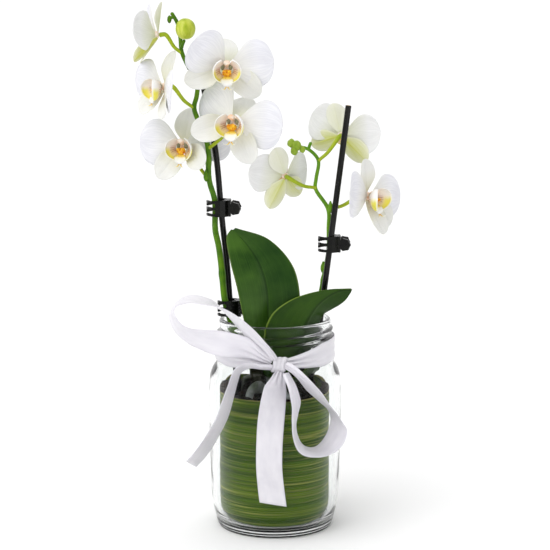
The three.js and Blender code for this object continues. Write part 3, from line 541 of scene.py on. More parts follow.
def middle_skin():
    """The lip's middle lobe: yellow at its foot with red dots, white at its point."""
    shade = Shade("lip_middle", 0.5, 0.3)
    along = shade.parts(shade.flat)[0]
    base = shade.ramp(along, (0.0, (0.78, 0.42, 0.02)), (0.3, (0.83, 0.66, 0.1)),
                      (0.5, (0.84, 0.82, 0.7)), (1.0, (0.82, 0.82, 0.83)))
    dots = shade.ramp(shade.noise(16, 1, shade.flat), (0.56, 0.0), (0.64, 1.0))
    keep = shade.ramp(along, (0.0, 0.8), (0.34, 0.7), (0.46, 0.0))
    tone = shade.mix(shade.times(dots, keep), base, (0.36, 0.07, 0.02))
    return shade.finish(tone, shade.noise(12, 2, shade.flat), 0.15, 0.0003)


def callus_skin():
    return mottled("lip_callus", 0.4, 0.3, 750, 2,
                   [(0.35, (0.62, 0.16, 0.008)), (0.5, (0.83, 0.38, 0.01)),
                    (0.68, (0.87, 0.6, 0.03))], 0.2, 0.0002)


def bud_skin():
    return mottled("bud", 0.42, 0.3, (260, 260, 90), 3,
                   [(0.3, (0.26, 0.36, 0.012)), (0.5, (0.42, 0.5, 0.03)),
                    (0.72, (0.62, 0.66, 0.12))], 0.15, 0.0003)


def satin():
    """White satin: fine threads across, a woven edge on both sides and a lavender shade."""
    shade = Shade("ribbon", 0.36, Sheen_Weight=0.15, Anisotropic=0.45, Subsurface_Weight=0.35,
                  Subsurface_Radius=(1, 1, 1), Subsurface_Scale=0.002)
    along, across = shade.parts(shade.flat)[:2]
    edge = shade.ramp(shade.from_middle(across), (0.435, 0.0), (0.45, 1.0), (0.5, 0.85))
    threads = shade.math("SINE", shade.times(along, 2400))
    weft = shade.math("SINE", shade.times(across, 420))
    cloud = shade.noise((9, 2.5, 1), 2, shade.flat)
    tone = shade.ramp(cloud, (0.3, (0.69, 0.67, 0.73)), (0.7, (0.78, 0.76, 0.81)))
    tone = shade.mix(shade.times(edge, 0.3), tone, (0.68, 0.65, 0.74))
    hem = shade.math("ADD", shade.times(edge, 0.9), shade.times(shade.times(weft, edge), 0.6))
    return shade.finish(tone, shade.math("ADD", shade.times(threads, 0.25), hem), 0.3, 0.0002)


def floor_skin():
    shade = Shade("floor", 0.9, 0.1)
    shade.feed("Base Color", shade.ramp(shade.noise(3, 2), (0.3, (0.93, 0.93, 0.93)),
                                        (0.7, (0.95, 0.95, 0.95))))
    return shade.material


# Jar

PUSH_UP = [(0, 1.7), (14, 1.6), (25, 1.3), (29, 0.9), (31, 0.2), (32.2, 0)]
HEEL = [(33.2, 0), (34.5, 0.2), (35.2, 0.9), (34.9, 1.5), (35.7, 1.9), (36.1, 2.7), (35.7, 3.3),
        (36.5, 3.8), (36.7, 5), (36.4, 5.7), (37, 6.4)]
OUTSIDE = [(37.2, 7.2), (38.2, 11.6), (39.5, 20), (40.3, 43), (BELLY_R, 66), (40.9, 88),
           (40.1, 96), (38.4, 100.5), (36, 103.8), (NECK_R + 0.3, 106.5), (NECK_R, NECK_Z)]
RIM = [(NECK_R, JAR_HEIGHT - 4.2), (RIM_R, JAR_HEIGHT - 2.4), (RIM_R - 0.4, JAR_HEIGHT - 0.7),
       (RIM_R - 1.7, JAR_HEIGHT), (MOUTH_R + 0.9, JAR_HEIGHT), (MOUTH_R, JAR_HEIGHT - 1.2)]
INSIDE = [(MOUTH_R, JAR_HEIGHT - 1.6), (MOUTH_R, NECK_Z), (MOUTH_R + 1.2, 104.6), (35.4, 100),
          (36.9, 93), (BELLY_R - WALL, 84), (BELLY_R - WALL, 66), (36.8, 43), (36.1, 20),
          (34.6, 11), (32.6, 6.6), (29.5, FLOOR)]
NECK_RINGS = 61
NECK_STEP = 0.3


def thread_lift(z, angle):
    """How far the thread stands out of the neck: a ridge with steep sides that fades at its ends."""
    lift = 0.0
    for turn in range(int(THREAD_TURNS) + 1):
        wound = turn + angle / (2 * math.pi)
        ends = min(wound, THREAD_TURNS - wound) / THREAD_FADE
        away = (z - THREAD_LOW_Z - THREAD_PITCH * wound) / THREAD_HALF
        lift = max(lift, min(1, max(0, ends)) * math.exp(-away ** 4))
    return lift * THREAD_LIFT


def rounded(section, step):
    """A profile section followed as a smooth curve, with points about a step apart."""
    flat = [(r, z, 0) for r, z in section]
    size = sum(math.dist(a, b) for a, b in zip(section, section[1:]))
    return [(p[0], p[1]) for p in even(flat, max(3, int(size / step)))]


def make_jar():
    neck = [(NECK_R, NECK_Z + 0.4 + NECK_STEP * i) for i in range(NECK_RINGS)]
    profile = [*PUSH_UP, *rounded(HEEL, 0.35), *rounded(OUTSIDE, 1.3), *neck, *rounded(RIM, 0.5),
               *rounded(INSIDE, 1.6), (27, FLOOR), (0, FLOOR)]
    pile = Pile()
    pile.turned(profile, 144, lambda r, z, a: (
        (r + thread_lift(z, a), z) if r == NECK_R and z > NECK_Z else (r, z)))
    settle(pile.object("jar_glass", [glass()]), "jar_glass", "jar")


# Leaf strip inside the jar

LINING_START = math.radians(60)
LINING_OVERLAP = math.radians(28)
LINING_LOW = FLOOR + 0.8
LINING_TUCK = 1.4
LINING_HEEL = 13


def lining_surface(u, v):
    """The strip rolled once round, its end tucked inside its start and its foot drawn in."""
    z = LINING_LOW + (LINING_TOP - LINING_LOW) * v + 0.5 * np.sin(u * 9) * v
    z = z + 0.25 * np.sin(u * 41) * v ** 6
    angle = LINING_START + u * (2 * math.pi + LINING_OVERLAP)
    tuck = LINING_TUCK * np.clip((u - 0.6) / 0.3, 0, 1)
    heel = np.maximum(0, 1 - (z - 5) / LINING_HEEL)
    r = LINING_R - 5 * heel * heel - tuck
    r = r + 0.12 * np.sin(z * 1.9 + 2 * np.sin(u * 5))
    return np.stack([np.cos(angle) * r, np.sin(angle) * r, z], 1)


def make_lining():
    pile = Pile()
    pile.blade(220, 70, lining_surface, LINING_THICK)
    settle(pile.object("lining_strip", [lining_skin()]), "lining_leaf", "lining_leaf")


# Crown, roots and bark

CROWN = [(0, 66), (5, 66), (7, 70), (CROWN_R, 76), (CROWN_R, 86), (7.7, 95), (6.4, 98),
         (3, 100.4), (0, 101)]
# Each root's girth and route
ROOTS = [
    (2.8, [[-5, -4, 85], [-9.6, -10.4, 88.4], [-14.4, -16.6, 88.2], [-16.4, -20, 78]]),
    (2.3, [[-5, 5, 88], [-13, 11, 90], [-19, 15, 84], [-20, 16, 74]]),
    (2.3, [[5, 5, 86], [10, 13, 88], [13, 19, 83], [13, 20, 74]]),
    (2.3, [[3, -6, 84], [6, -12, 85.5], [8, -18, 82], [8, -20, 73]]),
]
# Where each is, its size and, for the leaf feet, how far it leans
OLD_LEAF_FEET = [([-10.5, -8, 92], [4.6, 2.4, 13], -0.16), ([13, -7, 92], [4.2, 2.2, 11], 0.35),
                 ([2, 8, 90], [9, 4, 10], 0)]
EDGE_CHIPS = [([-30.8, -9, 89], [2.6, 2.6, 3]), ([30.6, -5, 87.6], [2.4, 2.8, 2.2])]
PLUG_R = 30.6
BARK_PLUG = [(0, FLOOR + 0.6), (25, FLOOR + 0.6), (28.4, 12), (30.4, 24), (PLUG_R, 60),
             (30.4, 80), (20, 81.4), (10, 81), (0, 81)]
CHIPS = 120
CHIPS_FROM_R = 10
CHIPS_TO_R = 29
GOLDEN_ANGLE = 2.39996


def make_crown():
    pile = Pile()
    pile.turned(CROWN, 40, lambda r, z, a: (r * (1 + 0.025 * math.sin(5 * a + z * 0.4)), z))
    for girth, points in ROOTS:
        pile.limb(points, lambda t, g=girth: g * (1 - 0.25 * t) * (1 + 0.05 * math.sin(t * 21)),
                  16, 40)
    for at, size, turn in OLD_LEAF_FEET:
        pile.ball(at, size, Matrix.Rotation(turn, 3, "Y"), bump=0.04, seed=at[0], mark=1)
    old_foot = bark_skin("old_leaf_foot", (0.004, 0.004, 0.002), (0.02, 0.02, 0.008))
    settle(pile.object("crown_and_roots", [root_skin(), old_foot]), "roots", "crown_roots")


def chip(pile, random, centre, size, mark):
    """One angular flake of bark: a squared lump with broken faces."""
    mesh = bmesh.new()
    bmesh.ops.create_cube(mesh, size=2)
    bmesh.ops.subdivide_edges(mesh, edges=mesh.edges, cuts=3, use_grid_fill=True)
    points, faces = taken(mesh)
    points = points * 0.62 + unit(points) * 1.25 * 0.38
    points += random.uniform(-0.09, 0.09, points.shape)
    shear = random.uniform(-0.35, 0.35, 2)
    points[:, 0] += shear[0] * points[:, 1]
    points[:, 1] += shear[1] * points[:, 2]
    points *= np.array(size)
    spin, tilt = random.uniform(0, 6.28), random.uniform(-0.6, 0.6)
    turn = np.array(Matrix.Rotation(spin, 3, "Z") @ Matrix.Rotation(tilt, 3, "X"))
    pile.put(points @ turn.T + np.array(centre), faces, None, mark)


def make_bark():
    random = np.random.RandomState(7)
    pile = Pile()
    pile.turned(BARK_PLUG, 60,
                lambda r, z, a: (r, z + (0.6 * math.sin(3 * a + r) if z > 79 else 0)))
    for i in range(CHIPS):
        angle = i * GOLDEN_ANGLE
        out = CHIPS_FROM_R + (CHIPS_TO_R - CHIPS_FROM_R) * math.sqrt(random.uniform(0, 1))
        size = [random.uniform(1.6, 4), random.uniform(1.2, 2.6), random.uniform(0.7, 1.5)]
        out = min(out, PLUG_R - max(size))
        high = SOIL_TOP + random.uniform(-0.9, 1.6)
        centre = [math.cos(angle) * out, math.sin(angle) * out, high]
        chip(pile, random, centre, size, int(random.randint(0, 3)))
    for at, size in EDGE_CHIPS:
        chip(pile, random, at, [s * 0.8 for s in size], 1)
        chip(pile, random, [at[0] * 0.93, at[1] * 0.93, SOIL_TOP + 1.6], [2, 2, 3.4], 0)
    skins = [bark_skin("bark_dark", (0.002, 0.0015, 0.001), (0.01, 0.007, 0.004)),
             bark_skin("bark_brown", (0.005, 0.003, 0.0015), (0.034, 0.018, 0.008)),
             bark_skin("bark_grey", (0.004, 0.003, 0.002), (0.02, 0.016, 0.012))]
    settle(pile.object("bark_mix", skins), "bark", "bark")


# Leaves

# Each leaf: its edge rails and midrib, the side of its groove, and the colours of its dark parts
# (also its painted shade on one half and in the groove), its blade and its margin
LEAVES = {
    "leaf_upright": dict(
        left=[[-8.4, -4.1, 95], [-11, -8, 106], [-16.5, -12.5, 120], [-20, -14, 137],
              [-23.3, -13, 152.6], [-27.4, -10, 168.4], [-29.4, -6.6, 182.5],
              [-26.8, -5.6, 186.6]],
        middle=[[-5, -7.9, 94], [-5, -9.2, 106], [-4.4, -10, 119], [-4.3, -10.2, 133],
                [-5.2, -9.4, 150.6], [-9.8, -8, 166.1], [-17.9, -6, 178.3],
                [-25.4, -5.2, 186.4]],
        right=[[0.6, -9.3, 94], [5, -10.8, 106], [10, -12, 119], [14, -13, 134],
               [15, -13.2, 149], [10.6, -10.6, 165.5], [-4, -7.6, 181], [-24, -5.4, 187.6]],
        side=1, tones=((0.003, 0.028, 0.001), (0.046, 0.112, 0.012), (0.1, 0.16, 0.03))),
    "leaf_right": dict(
        left=[[-1.4, -11.8, 95], [-4, -17, 108], [-6.6, -21.6, 124], [-2, -22, 137],
              [8, -20.6, 145], [19, -17, 148.8], [33, -12, 150.8], [46.4, -9.2, 150.8]],
        middle=[[6.4, -9.5, 93], [10.6, -13.4, 105], [15.6, -15.4, 119], [19, -15.4, 131],
                [24.4, -14, 140], [31, -12.6, 146], [38, -11, 149.4], [47, -9, 150]],
        right=[[10, -3.8, 94], [19, -6.4, 107], [24.8, -7, 121], [29.6, -5.4, 134],
               [35, -5.6, 137.4], [39.4, -6.2, 140], [43.4, -7.4, 143.6], [46.6, -8.8, 149]],
        side=-1, tones=((0.006, 0.03, 0.001), (0.028, 0.076, 0.002), (0.16, 0.24, 0.03))),
    "leaf_inner": dict(
        left=[[3.4, -9.4, 88.4], [9.6, -17.6, 94], [17, -19, 101], [23, -13, 107.4]],
        middle=[[8, -5, 88], [15.4, -9, 91.6], [21.6, -10.8, 97.4], [25.6, -10.4, 107.6]],
        right=[[9.4, 0.4, 88], [19.4, 1, 91.6], [26.4, -2.6, 98.4], [27, -8, 107.6]],
        side=-1, tones=((0.014, 0.042, 0.005), (0.036, 0.08, 0.01), (0.09, 0.15, 0.025))),
}
GROOVE_DEEP = 0.28
GROOVE_HALF = 0.03


def leaf_surface(leaf):
    """A blade between its edge rails, bent at the midrib and grooved along it."""
    def surface(u, v):
        share = np.abs(2 * v - 1)
        bent = (share * (1.25 - 0.25 * share))[:, None]
        left, middle, right = [spline(leaf[key], u) for key in ("left", "middle", "right")]
        margin = np.where((v < 0.5)[:, None], left, right)
        groove = np.exp(-((v - 0.5) / GROOVE_HALF) ** 2) * np.sin(np.pi * u) ** 0.5
        ahead = spline(leaf["middle"], u + 0.01) - spline(leaf["middle"], u - 0.01)
        normal = unit(np.cross(ahead, right - left)) * leaf["side"]
        return middle + (margin - middle) * bent + normal * GROOVE_DEEP * groove[:, None]

    return surface


def make_leaves():
    for name, leaf in LEAVES.items():
        pile = Pile()
        pile.blade(90, 44, leaf_surface(leaf), LEAF_THICK)
        settle(pile.object(f"{name}_blade", [leaf_skin(name, *leaf["tones"])]), "leaf", name)


# Blooms

PETAL = dict(length=PETAL_LENGTH, width=PETAL_WIDTH, peak=0.6, foot=0.09, cup=0.35, depth=0.7,
             wave=0.55, rib=0.5)
SEPAL = dict(width=SEPAL_WIDTH, peak=0.5, foot=0.17, cup=-0.5, depth=-1.1, wave=0.25, rib=0.7)

# Each bloom: its centre, the way it faces, its size, how far its petals curl back, how green its
# sepals are behind, then its petals and its sepals, the upper one first, each with its turn from
# straight up in degrees and its lift
BLOOMS = [
    ((-70.8, -6, 304.3), (-0.98, 0.14, -0.04), 0.82, 0.1, 1.7, [(-58, 0.5), (74, 0.55)],
     [(-6, -0.1), (-155, 0.8), (146, 0.85)]),
    ((-28.8, -20, 286.6), (0.06, -0.99, -0.05), 0.98, 0.12, 0.3, [(-54, 0.5), (84, 0.12)],
     [(-3, -1.5), (-112, -0.1), (131, 0.1)]),
    ((-66.2, -14, 274.2), (-0.86, -0.5, 0.03), 0.9, 0.12, 0.45, [(-80, 0.38), (97, 0.42)],
     [(2, -0.2), (-136, 0.5), (139, 0.42)]),
    ((-24, -23, 254.8), (-0.26, -0.96, -0.04), 1.02, 0.12, 0.3, [(-54, -0.42), (97, 0.1)],
     [(10, -2.4), (-106, 0.32), (158, 0.12)]),
    ((-55.3, 2, 237.3), (-0.25, -0.97, 0.03), 0.98, 0.12, 0.4, [(-86, 0.1), (77, -0.5)],
     [(2, -0.45), (-141, 0.1), (120, 0.9)]),
    ((6.1, 2, 218.4), (-0.4, 0.9, 0.1), 0.82, 0.14, 1.0, [(-84, 0.72), (80, 0.22)],
     [(24, 0.05), (-134, 0.5), (154, 0.12)]),
    ((40.7, 16, 242), (0.25, 0.96, 0.1), 0.85, 0.12, 1.15, [(-88, 0.35), (60, 0.42)],
     [(12, 0), (-138, 0.2), (112, 0.35)]),
    ((56.7, 8, 205.2), (0.8, -0.6, 0.05), 0.97, 0.12, 0.85, [(-80, 0.3), (97, 0.34)],
     [(-6, 0.12), (172, 0.5), (138, 0.32)]),
]
UPPER_GREEN = 0.3
COLUMN_R = 1.25
FRINGE = [[0.4, -11.2, 8.9], [1.6, -12.6, 9.6], [3.2, -12.4, 11], [4, -10.8, 11.8]]


def outline(u, peak, foot):
    """The width along a petal: it grows from the foot to its peak, then rounds off."""
    rising = foot + (1 - foot) * np.sin(np.clip(u / peak, 0, 1) * math.pi / 2) ** 1.1
    past = np.clip((u - peak) / (1 - peak), 0, 1)
    falling = np.sqrt(np.maximum(0, 1 - past ** 2.2))
    return np.maximum(0.035, np.where(u < peak, rising, falling))


def tepal(turn, lift, curl, seed, length, width, peak, foot, cup, depth, wave, rib):
    """A petal or sepal in its flower's own axes, turned from straight up and lifted forward."""
    angle = math.radians(turn)
    lean = 1 / math.hypot(1, lift)

    def surface(u, v):
        reach = np.sin(u * math.pi / 2) ** 1.15
        along = TEPAL_FOOT + (length - TEPAL_FOOT) * reach * lean
        across = (2 * v - 1) * (width / 2) * outline(reach, peak, foot)
        forward = depth + length * (lift * lean * reach - curl * reach * reach)
        forward = forward - cup * across * across / width
        rim = (2 * v - 1) ** 2
        forward = forward + wave * rim * reach * np.sin(8.5 * reach + seed + 3 * np.sign(v - 0.5))
        forward = forward - rib * np.exp(-((v - 0.5) / 0.07) ** 2) * reach * (1 - reach) * 3
        return np.stack([math.sin(angle) * along + math.cos(angle) * across,
                         math.cos(angle) * along - math.sin(angle) * across, forward], 1)

    return surface


def flower_place(at, face, size=1.0):
    """The matrix from a flower's own axes, x right, y up and z forward, to the plant's."""
    forward = unit(np.array(face, float))
    right = unit(np.cross([0, 0, 1], forward))
    up = np.cross(forward, right)
    place = np.identity(4)
    place[:3, :3] = np.stack([right, up, forward], 1) * size
    place[:3, 3] = at
    return place


def lobe_surface(side):
    """A side lobe of the lip, which curves up round the column."""
    def surface(u, v):
        swing = np.radians(-78 + 150 * v)
        bowl = 2.4 + 5.2 * np.sin((0.08 + 0.92 * u) * math.pi * 0.6) * (1 - 0.16 * v * v)
        forward = 4 + 8.6 * u * (0.6 + 0.4 * np.sin(v * math.pi)) + 1.2 * u * v
        return np.stack([side * (1 + bowl * np.cos(swing)), -1.4 + bowl * np.sin(swing),
                         forward], 1)

    return surface


def middle_surface(u, v):
    """The lip's middle lobe, which hangs down and forward."""
    half = 1.1 + 2.9 * np.sin(np.minimum(1, u ** 1.5 * 1.02) * math.pi) ** 0.7
    across = (2 * v - 1) * half
    dip = 4.6 + 6.3 * u - 0.04 * across * across
    ruffle = 0.45 * u * np.sin(across * 2.3 + 1) * np.abs(2 * v - 1)
    return np.stack([across, -dip, 5 + 9 * u - 5 * u * u + ruffle], 1)


def lip_pile(seed):
    """The lip's lobes, its callus, dark balls of painted shade in the hollows beside the column, and
    the fringe at its point.
    """
    pile = Pile()
    for side in (1, -1):
        pile.blade(26, 30, lobe_surface(side), LOBE_THICK)
        pile.ball([side * 1.5, -2.2, 7.4], [1.25, 1.1, 1.5], mark=2)
        # Painted shade: a dark ball in the hollow between the column and this side lobe.
        pile.ball([side * 2.4, 0.2, 3.8], [1.2, 2, 0.8], mark=3)
        pile.limb([[side * x, y, z] for x, y, z in FRINGE], lambda t: 0.34 * (1 - 0.7 * t), 8, 16,
                  mark=1)
    pile.blade(26, 18, middle_surface, MIDDLE_THICK, (1, 1))
    pile.ball([0, -3.3, 5.4], [2.9, 2.1, 2.3], bump=0.06, seed=seed, mark=2)
    return pile


def make_blooms():
    # Each petal material: its white, the colour of its painted shade and its veins, the tint at its
    # foot and how strongly the veins show
    petal = [petal_skin("petal", (0.83, 0.83, 0.86), (0.64, 0.64, 0.7), (0.76, 0.76, 0.64), 0.4),
             petal_skin("petal_back", (0.85, 0.85, 0.85), (0.7, 0.7, 0.7), (0.62, 0.64, 0.35),
                        0.35)]
    sepal = petal_skin("sepal", (0.82, 0.82, 0.79), (0.66, 0.66, 0.64), (0.66, 0.65, 0.42), 0.25)
    column = column_skin()
    lip = [lobe_skin(), middle_skin(), callus_skin(), hollow_shade_skin()]
    for number, (at, face, size, curl, green, petals, sepals) in enumerate(BLOOMS, 1):
        place = flower_place(at, face, size)
        pile = Pile()
        for k, (turn, lift) in enumerate(petals):
            pile.blade(44, 40, tepal(turn, lift, curl, number + 2.1 * k, **PETAL), PETAL_THICK,
                       (1, 0))
        settle(pile.object(f"bloom_{number}_petals", petal, place), "petal", f"bloom_{number}")
        pile = Pile()
        for k, (turn, lift) in enumerate(sepals):
            length = SEPAL_LENGTH if k else DORSAL_LENGTH
            pile.blade(36, 26, tepal(turn, lift, curl * 0.6 - 0.02, number + k, length, **SEPAL),
                       SEPAL_THICK, (1 if k else 2, 0))
        skins = [sepal, sepal_back_skin(f"sepal_back_{number}", green),
                 sepal_back_skin(f"upper_back_{number}", green * UPPER_GREEN)]
        settle(pile.object(f"bloom_{number}_sepals", skins, place), "petal")
        pile = Pile()
        pile.ball([0, 0, -0.1], [2.7, 2.7, 2.1])
        pile.limb([[0, 0, 0], [0, 1.3, 3], [0, 2.6, 6], [0, 3, 7.4]],
                  lambda t: COLUMN_R + 0.45 * t, 20, 18, round_ends=1.0)
        pile.ball([0, 3.1, 7], [2.1, 1.5, 1.3])
        settle(pile.object(f"bloom_{number}_column", [column], place), "petal")
        settle(lip_pile(number).object(f"lip_{number}_parts", lip, place), "lip", f"lip_{number}")


# Spikes, stalks and buds

SPIKES = {
    "left": dict(
        stem=[[-10, -0.8, 91.4], [-15, -1.6, 101], [-23.4, -2.4, 117], [-27.8, -2.3, 131],
              [-30.9, -2.2, 143], [-32.6, -2.2, 161.5], [-34.4, -2.6, 175.9],
              [-36.4, -3.2, 186], [-36.6, -3.8, 204], [-39.9, -5, 217], [-40.4, -6, 235.8],
              [-42.4, -6.4, 245], [-48.6, -7, 260.4], [-47, -7, 268], [-46.6, -7, 276],
              [-51, -8, 284], [-55.6, -8, 294], [-56.8, -4, 303], [-58.4, -2.6, 311],
              [-62, -3, 317.6]],
        thick=2.15, thin=1.1, joints=[0.3, 0.6], tones=((0.018, 0.09, 0.001), (0.12, 0.26, 0.003)),
        flowers=[(0, [-55.4, -8, 293.6]), (1, [-46.6, -7, 273.6]), (2, [-48.4, -7, 260.6]),
                 (3, [-40.4, -6, 236]), (4, [-40, -5, 217])],
        bracts=[[-36.2, -5, 187], [-42.4, -8, 245.6], [-41.6, -6.8, 219.4]],
        twigs=[[[-60.4, -2.8, 315], [-62, -3, 314.4], [-63.2, -3, 313.6]],
               [[-55.9, -8, 296], [-55, -11, 299], [-53.8, -12.1, 301.9]]],
        shoots=[([-63.2, -3, 313.4], [1.3, 1.3, 2.4])]),
    "right": dict(
        stem=[[7.3, 6.3, 91], [14, 8.8, 106], [21.6, 9, 121], [25.9, 8.9, 131],
              [28.6, 8.8, 146], [30.9, 8.8, 159], [33, 8.9, 171.7], [33, 8.8, 184.8],
              [32.6, 8.4, 197], [24.8, 8, 210], [25.2, 8, 216], [26.4, 8, 227.4],
              [20.4, 8, 234], [15, 8, 235.6]],
        thick=1.65, thin=1.0, joints=[0.42], tones=((0.07, 0.2, 0.008), (0.17, 0.36, 0.012)),
        flowers=[(5, [24.9, 8, 210.4]), (6, [26.4, 8, 227]), (7, [32.6, 8.4, 197])],
        bracts=[[29.8, 10, 160], [34, 7.4, 198]],
        twigs=[[[20.6, 8, 233.8], [21, 7.6, 236], [22, 7.2, 238.6]]],
        shoots=[]),
}
TIP_BUDS = [([13, 7.6, 236.2], [3.1, 2.9, 3.2]), ([10, 8.4, 237.6], [2.5, 2.4, 2.8]),
            ([11.8, 6.6, 233.2], [2.3, 2.2, 2.7]), ([16.8, 7.2, 234], [1.8, 1.8, 2.1])]
BUD = [(0.01, -6.3), (2.6, -5.8), (4.9, -3.8), (6, -0.4), (5.4, 3), (3, 5.5), (0.01, 6.4)]
BUD_AT = (-53.2, -13.6, 308.4)
BUD_TILT = -0.25
TWIG_R = 1.0
STALK_R = 1.05
BLOOM_BACK = 2.13
STALK_STRAIGHT = 3.4


def stalk_points(start, flower):
    """A stalk's route: it sags from the stem, then meets the bloom straight from behind."""
    at, face, size = flower[:3]
    place = flower_place(at, face)
    behind = -BLOOM_BACK * size - GAP
    back = (place @ [0, 0, behind, 1])[:3]
    straight = (place @ [0, 0, behind - STALK_STRAIGHT, 1])[:3]
    start = np.array(start, float)
    swing = start + (straight - start) * 0.45 + [0, 0, -1.6]
    return [start, swing, straight, back]


def stem_girth(t, spike):
    """A stem's radius at the share t along it: it tapers, and swells at its joints."""
    swell = sum(math.exp(-((t - at) / 0.012) ** 2) for at in spike["joints"])
    return spike["thick"] + (spike["thin"] - spike["thick"]) * t ** 1.4 + 0.35 * swell


def make_spikes():
    lime = stem_skin("stalk", (0.26, 0.36, 0.008), (0.42, 0.5, 0.03))
    for side, spike in SPIKES.items():
        pile = Pile()
        pile.limb(spike["stem"], lambda t: stem_girth(t, spike), 18, 220, round_ends=1.0)
        for points in spike["twigs"]:
            pile.limb(points, TWIG_R, 14, 24, round_ends=1.0)
        for x, y, z in spike["bracts"]:
            pile.ball([x, y, z], [1.7, 1.5, 3.4], bump=0.03)
            pile.ball([x, y - 0.3, z + 2.6], [0.9, 0.8, 1.8])
        for at, size in spike["shoots"]:
            pile.ball(at, size, bump=0.05)
        green = stem_skin(f"stem_{side}", *spike["tones"])
        settle(pile.object(f"spike_{side}_stem", [green]), "spike", f"spike_{side}")
        pile = Pile()
        for index, start in spike["flowers"]:
            pile.limb(stalk_points(start, BLOOMS[index]),
                      lambda t: STALK_R + 0.4 * t * t + 0.25 * math.exp(-(t / 0.05) ** 2), 16, 50)
        settle(pile.object(f"spike_{side}_stalks", [lime]), "spike")
    pile = Pile()
    for k, (at, size) in enumerate(TIP_BUDS):
        pile.ball(at, size, bump=0.06, seed=k)
    fresh = stem_skin("tip_bud", (0.2, 0.33, 0.02), (0.4, 0.52, 0.07))
    settle(pile.object("spike_right_tip_buds", [fresh]), "spike")


def make_bud():
    pile = Pile()
    pile.turned([(0, BUD[0][1]), *rounded(BUD, 0.5)[1:-1], (0, BUD[-1][1])], 60, lambda r, z, a: (
        r * (1 + 0.03 * math.cos(3 * a) - 0.03 * abs(math.cos(1.5 * a)) ** 24), z))
    place = np.array(Matrix.Translation(BUD_AT) @ Matrix.Rotation(BUD_TILT, 4, "X"))
    settle(pile.object("bud_left_closed", [bud_skin()], place), "bud", "bud_left")


# Stakes

STAKES = {
    "left": [[-17, 2.8, 22], [-27, 1.9, 131], [-29.6, 1.8, 166], [-32.4, 1.6, 192],
             [-35.9, 1.2, 232], [-41.6, 0.6, 264], [-43.4, 0.4, 275]],
    "right": [[14.6, 6, 22], [28.3, 5, 131], [44.6, 4, 261.3]],
}
COAT_THICK = 0.42


def make_stakes():
    """Two coated stakes, each with the bare wood of its cut at the upper end."""
    skins = [stake_skin(), wood_cut()]
    for side, points in STAKES.items():
        pile = Pile()
        pile.limb(points, STAKE_R, 28, 60, round_ends=0.12)
        end, before = np.array(points[-1], float), np.array(points[-2], float)
        way = unit(end - before)
        pile.limb([end - way * 0.9, end - way * 0.4, end + way * 0.12], STAKE_R - COAT_THICK, 24,
                  4, mark=1, round_ends=0.2)
        settle(pile.object(f"stake_{side}_rod", skins), "stake", f"stake_{side}")


# Clips

# Each clip's place, and how far to the right of it the hinge pin is
CLIPS = {"clip_upper_left": ((-35, -1.5, 199.5), 6.2),
         "clip_lower_left": ((-28.6, -0.4, 137.2), 5.8),
         "clip_right": ((33.2, 6.6, 176), 5.1)}
COIL_R = 1.62
COIL_RISE = 2.0
COIL_TURNS = 4.5
WIRE_R = 0.2
SOFT_EDGE = 0.16


def make_clips():
    """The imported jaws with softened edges, and a coil round each hinge pin."""
    plastic, steel = clip_skin(), spring_skin()
    for name, ((x, y, z), pivot) in CLIPS.items():
        for half in ("back", "front"):
            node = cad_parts[f"{name}_{half}"]
            node.data.materials.clear()
            node.data.materials.append(plastic)
            soft = node.modifiers.new("soft_edges", "BEVEL")
            soft.width = SOFT_EDGE * MM
            soft.segments = 2
            soft.limit_method = "ANGLE"
            soft.angle_limit = math.radians(38)
        line = [[x + pivot + COIL_R * math.cos(COIL_TURNS * 2 * math.pi * t),
                 y + COIL_R * math.sin(COIL_TURNS * 2 * math.pi * t), z + COIL_RISE * (t - 0.5)]
                for t in np.linspace(0, 1, 70)]
        pile = Pile()
        pile.limb(line, WIRE_R, 8, 260)
        settle(pile.object(f"{name}_coil", [steel]), "spring", f"{name}_spring")


# Ribbon

BAND_R = 36.8
BAND_Z = 113.2
BAND_START_DEG = -80.8
BAND_TURN_DEG = 345
PLEATS = 3


def neck_stations():
    """The band round the neck: from the knot and back to it, wider and higher behind."""
    stations = []
    for share in np.linspace(0, 1, 25):
        angle = math.radians(BAND_START_DEG + share * BAND_TURN_DEG)
        near = min(share, 1 - share) * BAND_TURN_DEG
        r = BAND_R + 1.9 * max(0, 1 - near / 40)
        z = BAND_Z - 3 * max(0, 1 - near / 60)
        width = RIBBON_WIDTH * min(0.9, 0.34 + near / 75)
        stations.append((math.cos(angle) * r, math.sin(angle) * r, z, 0, 0, 1, width))
    return stations


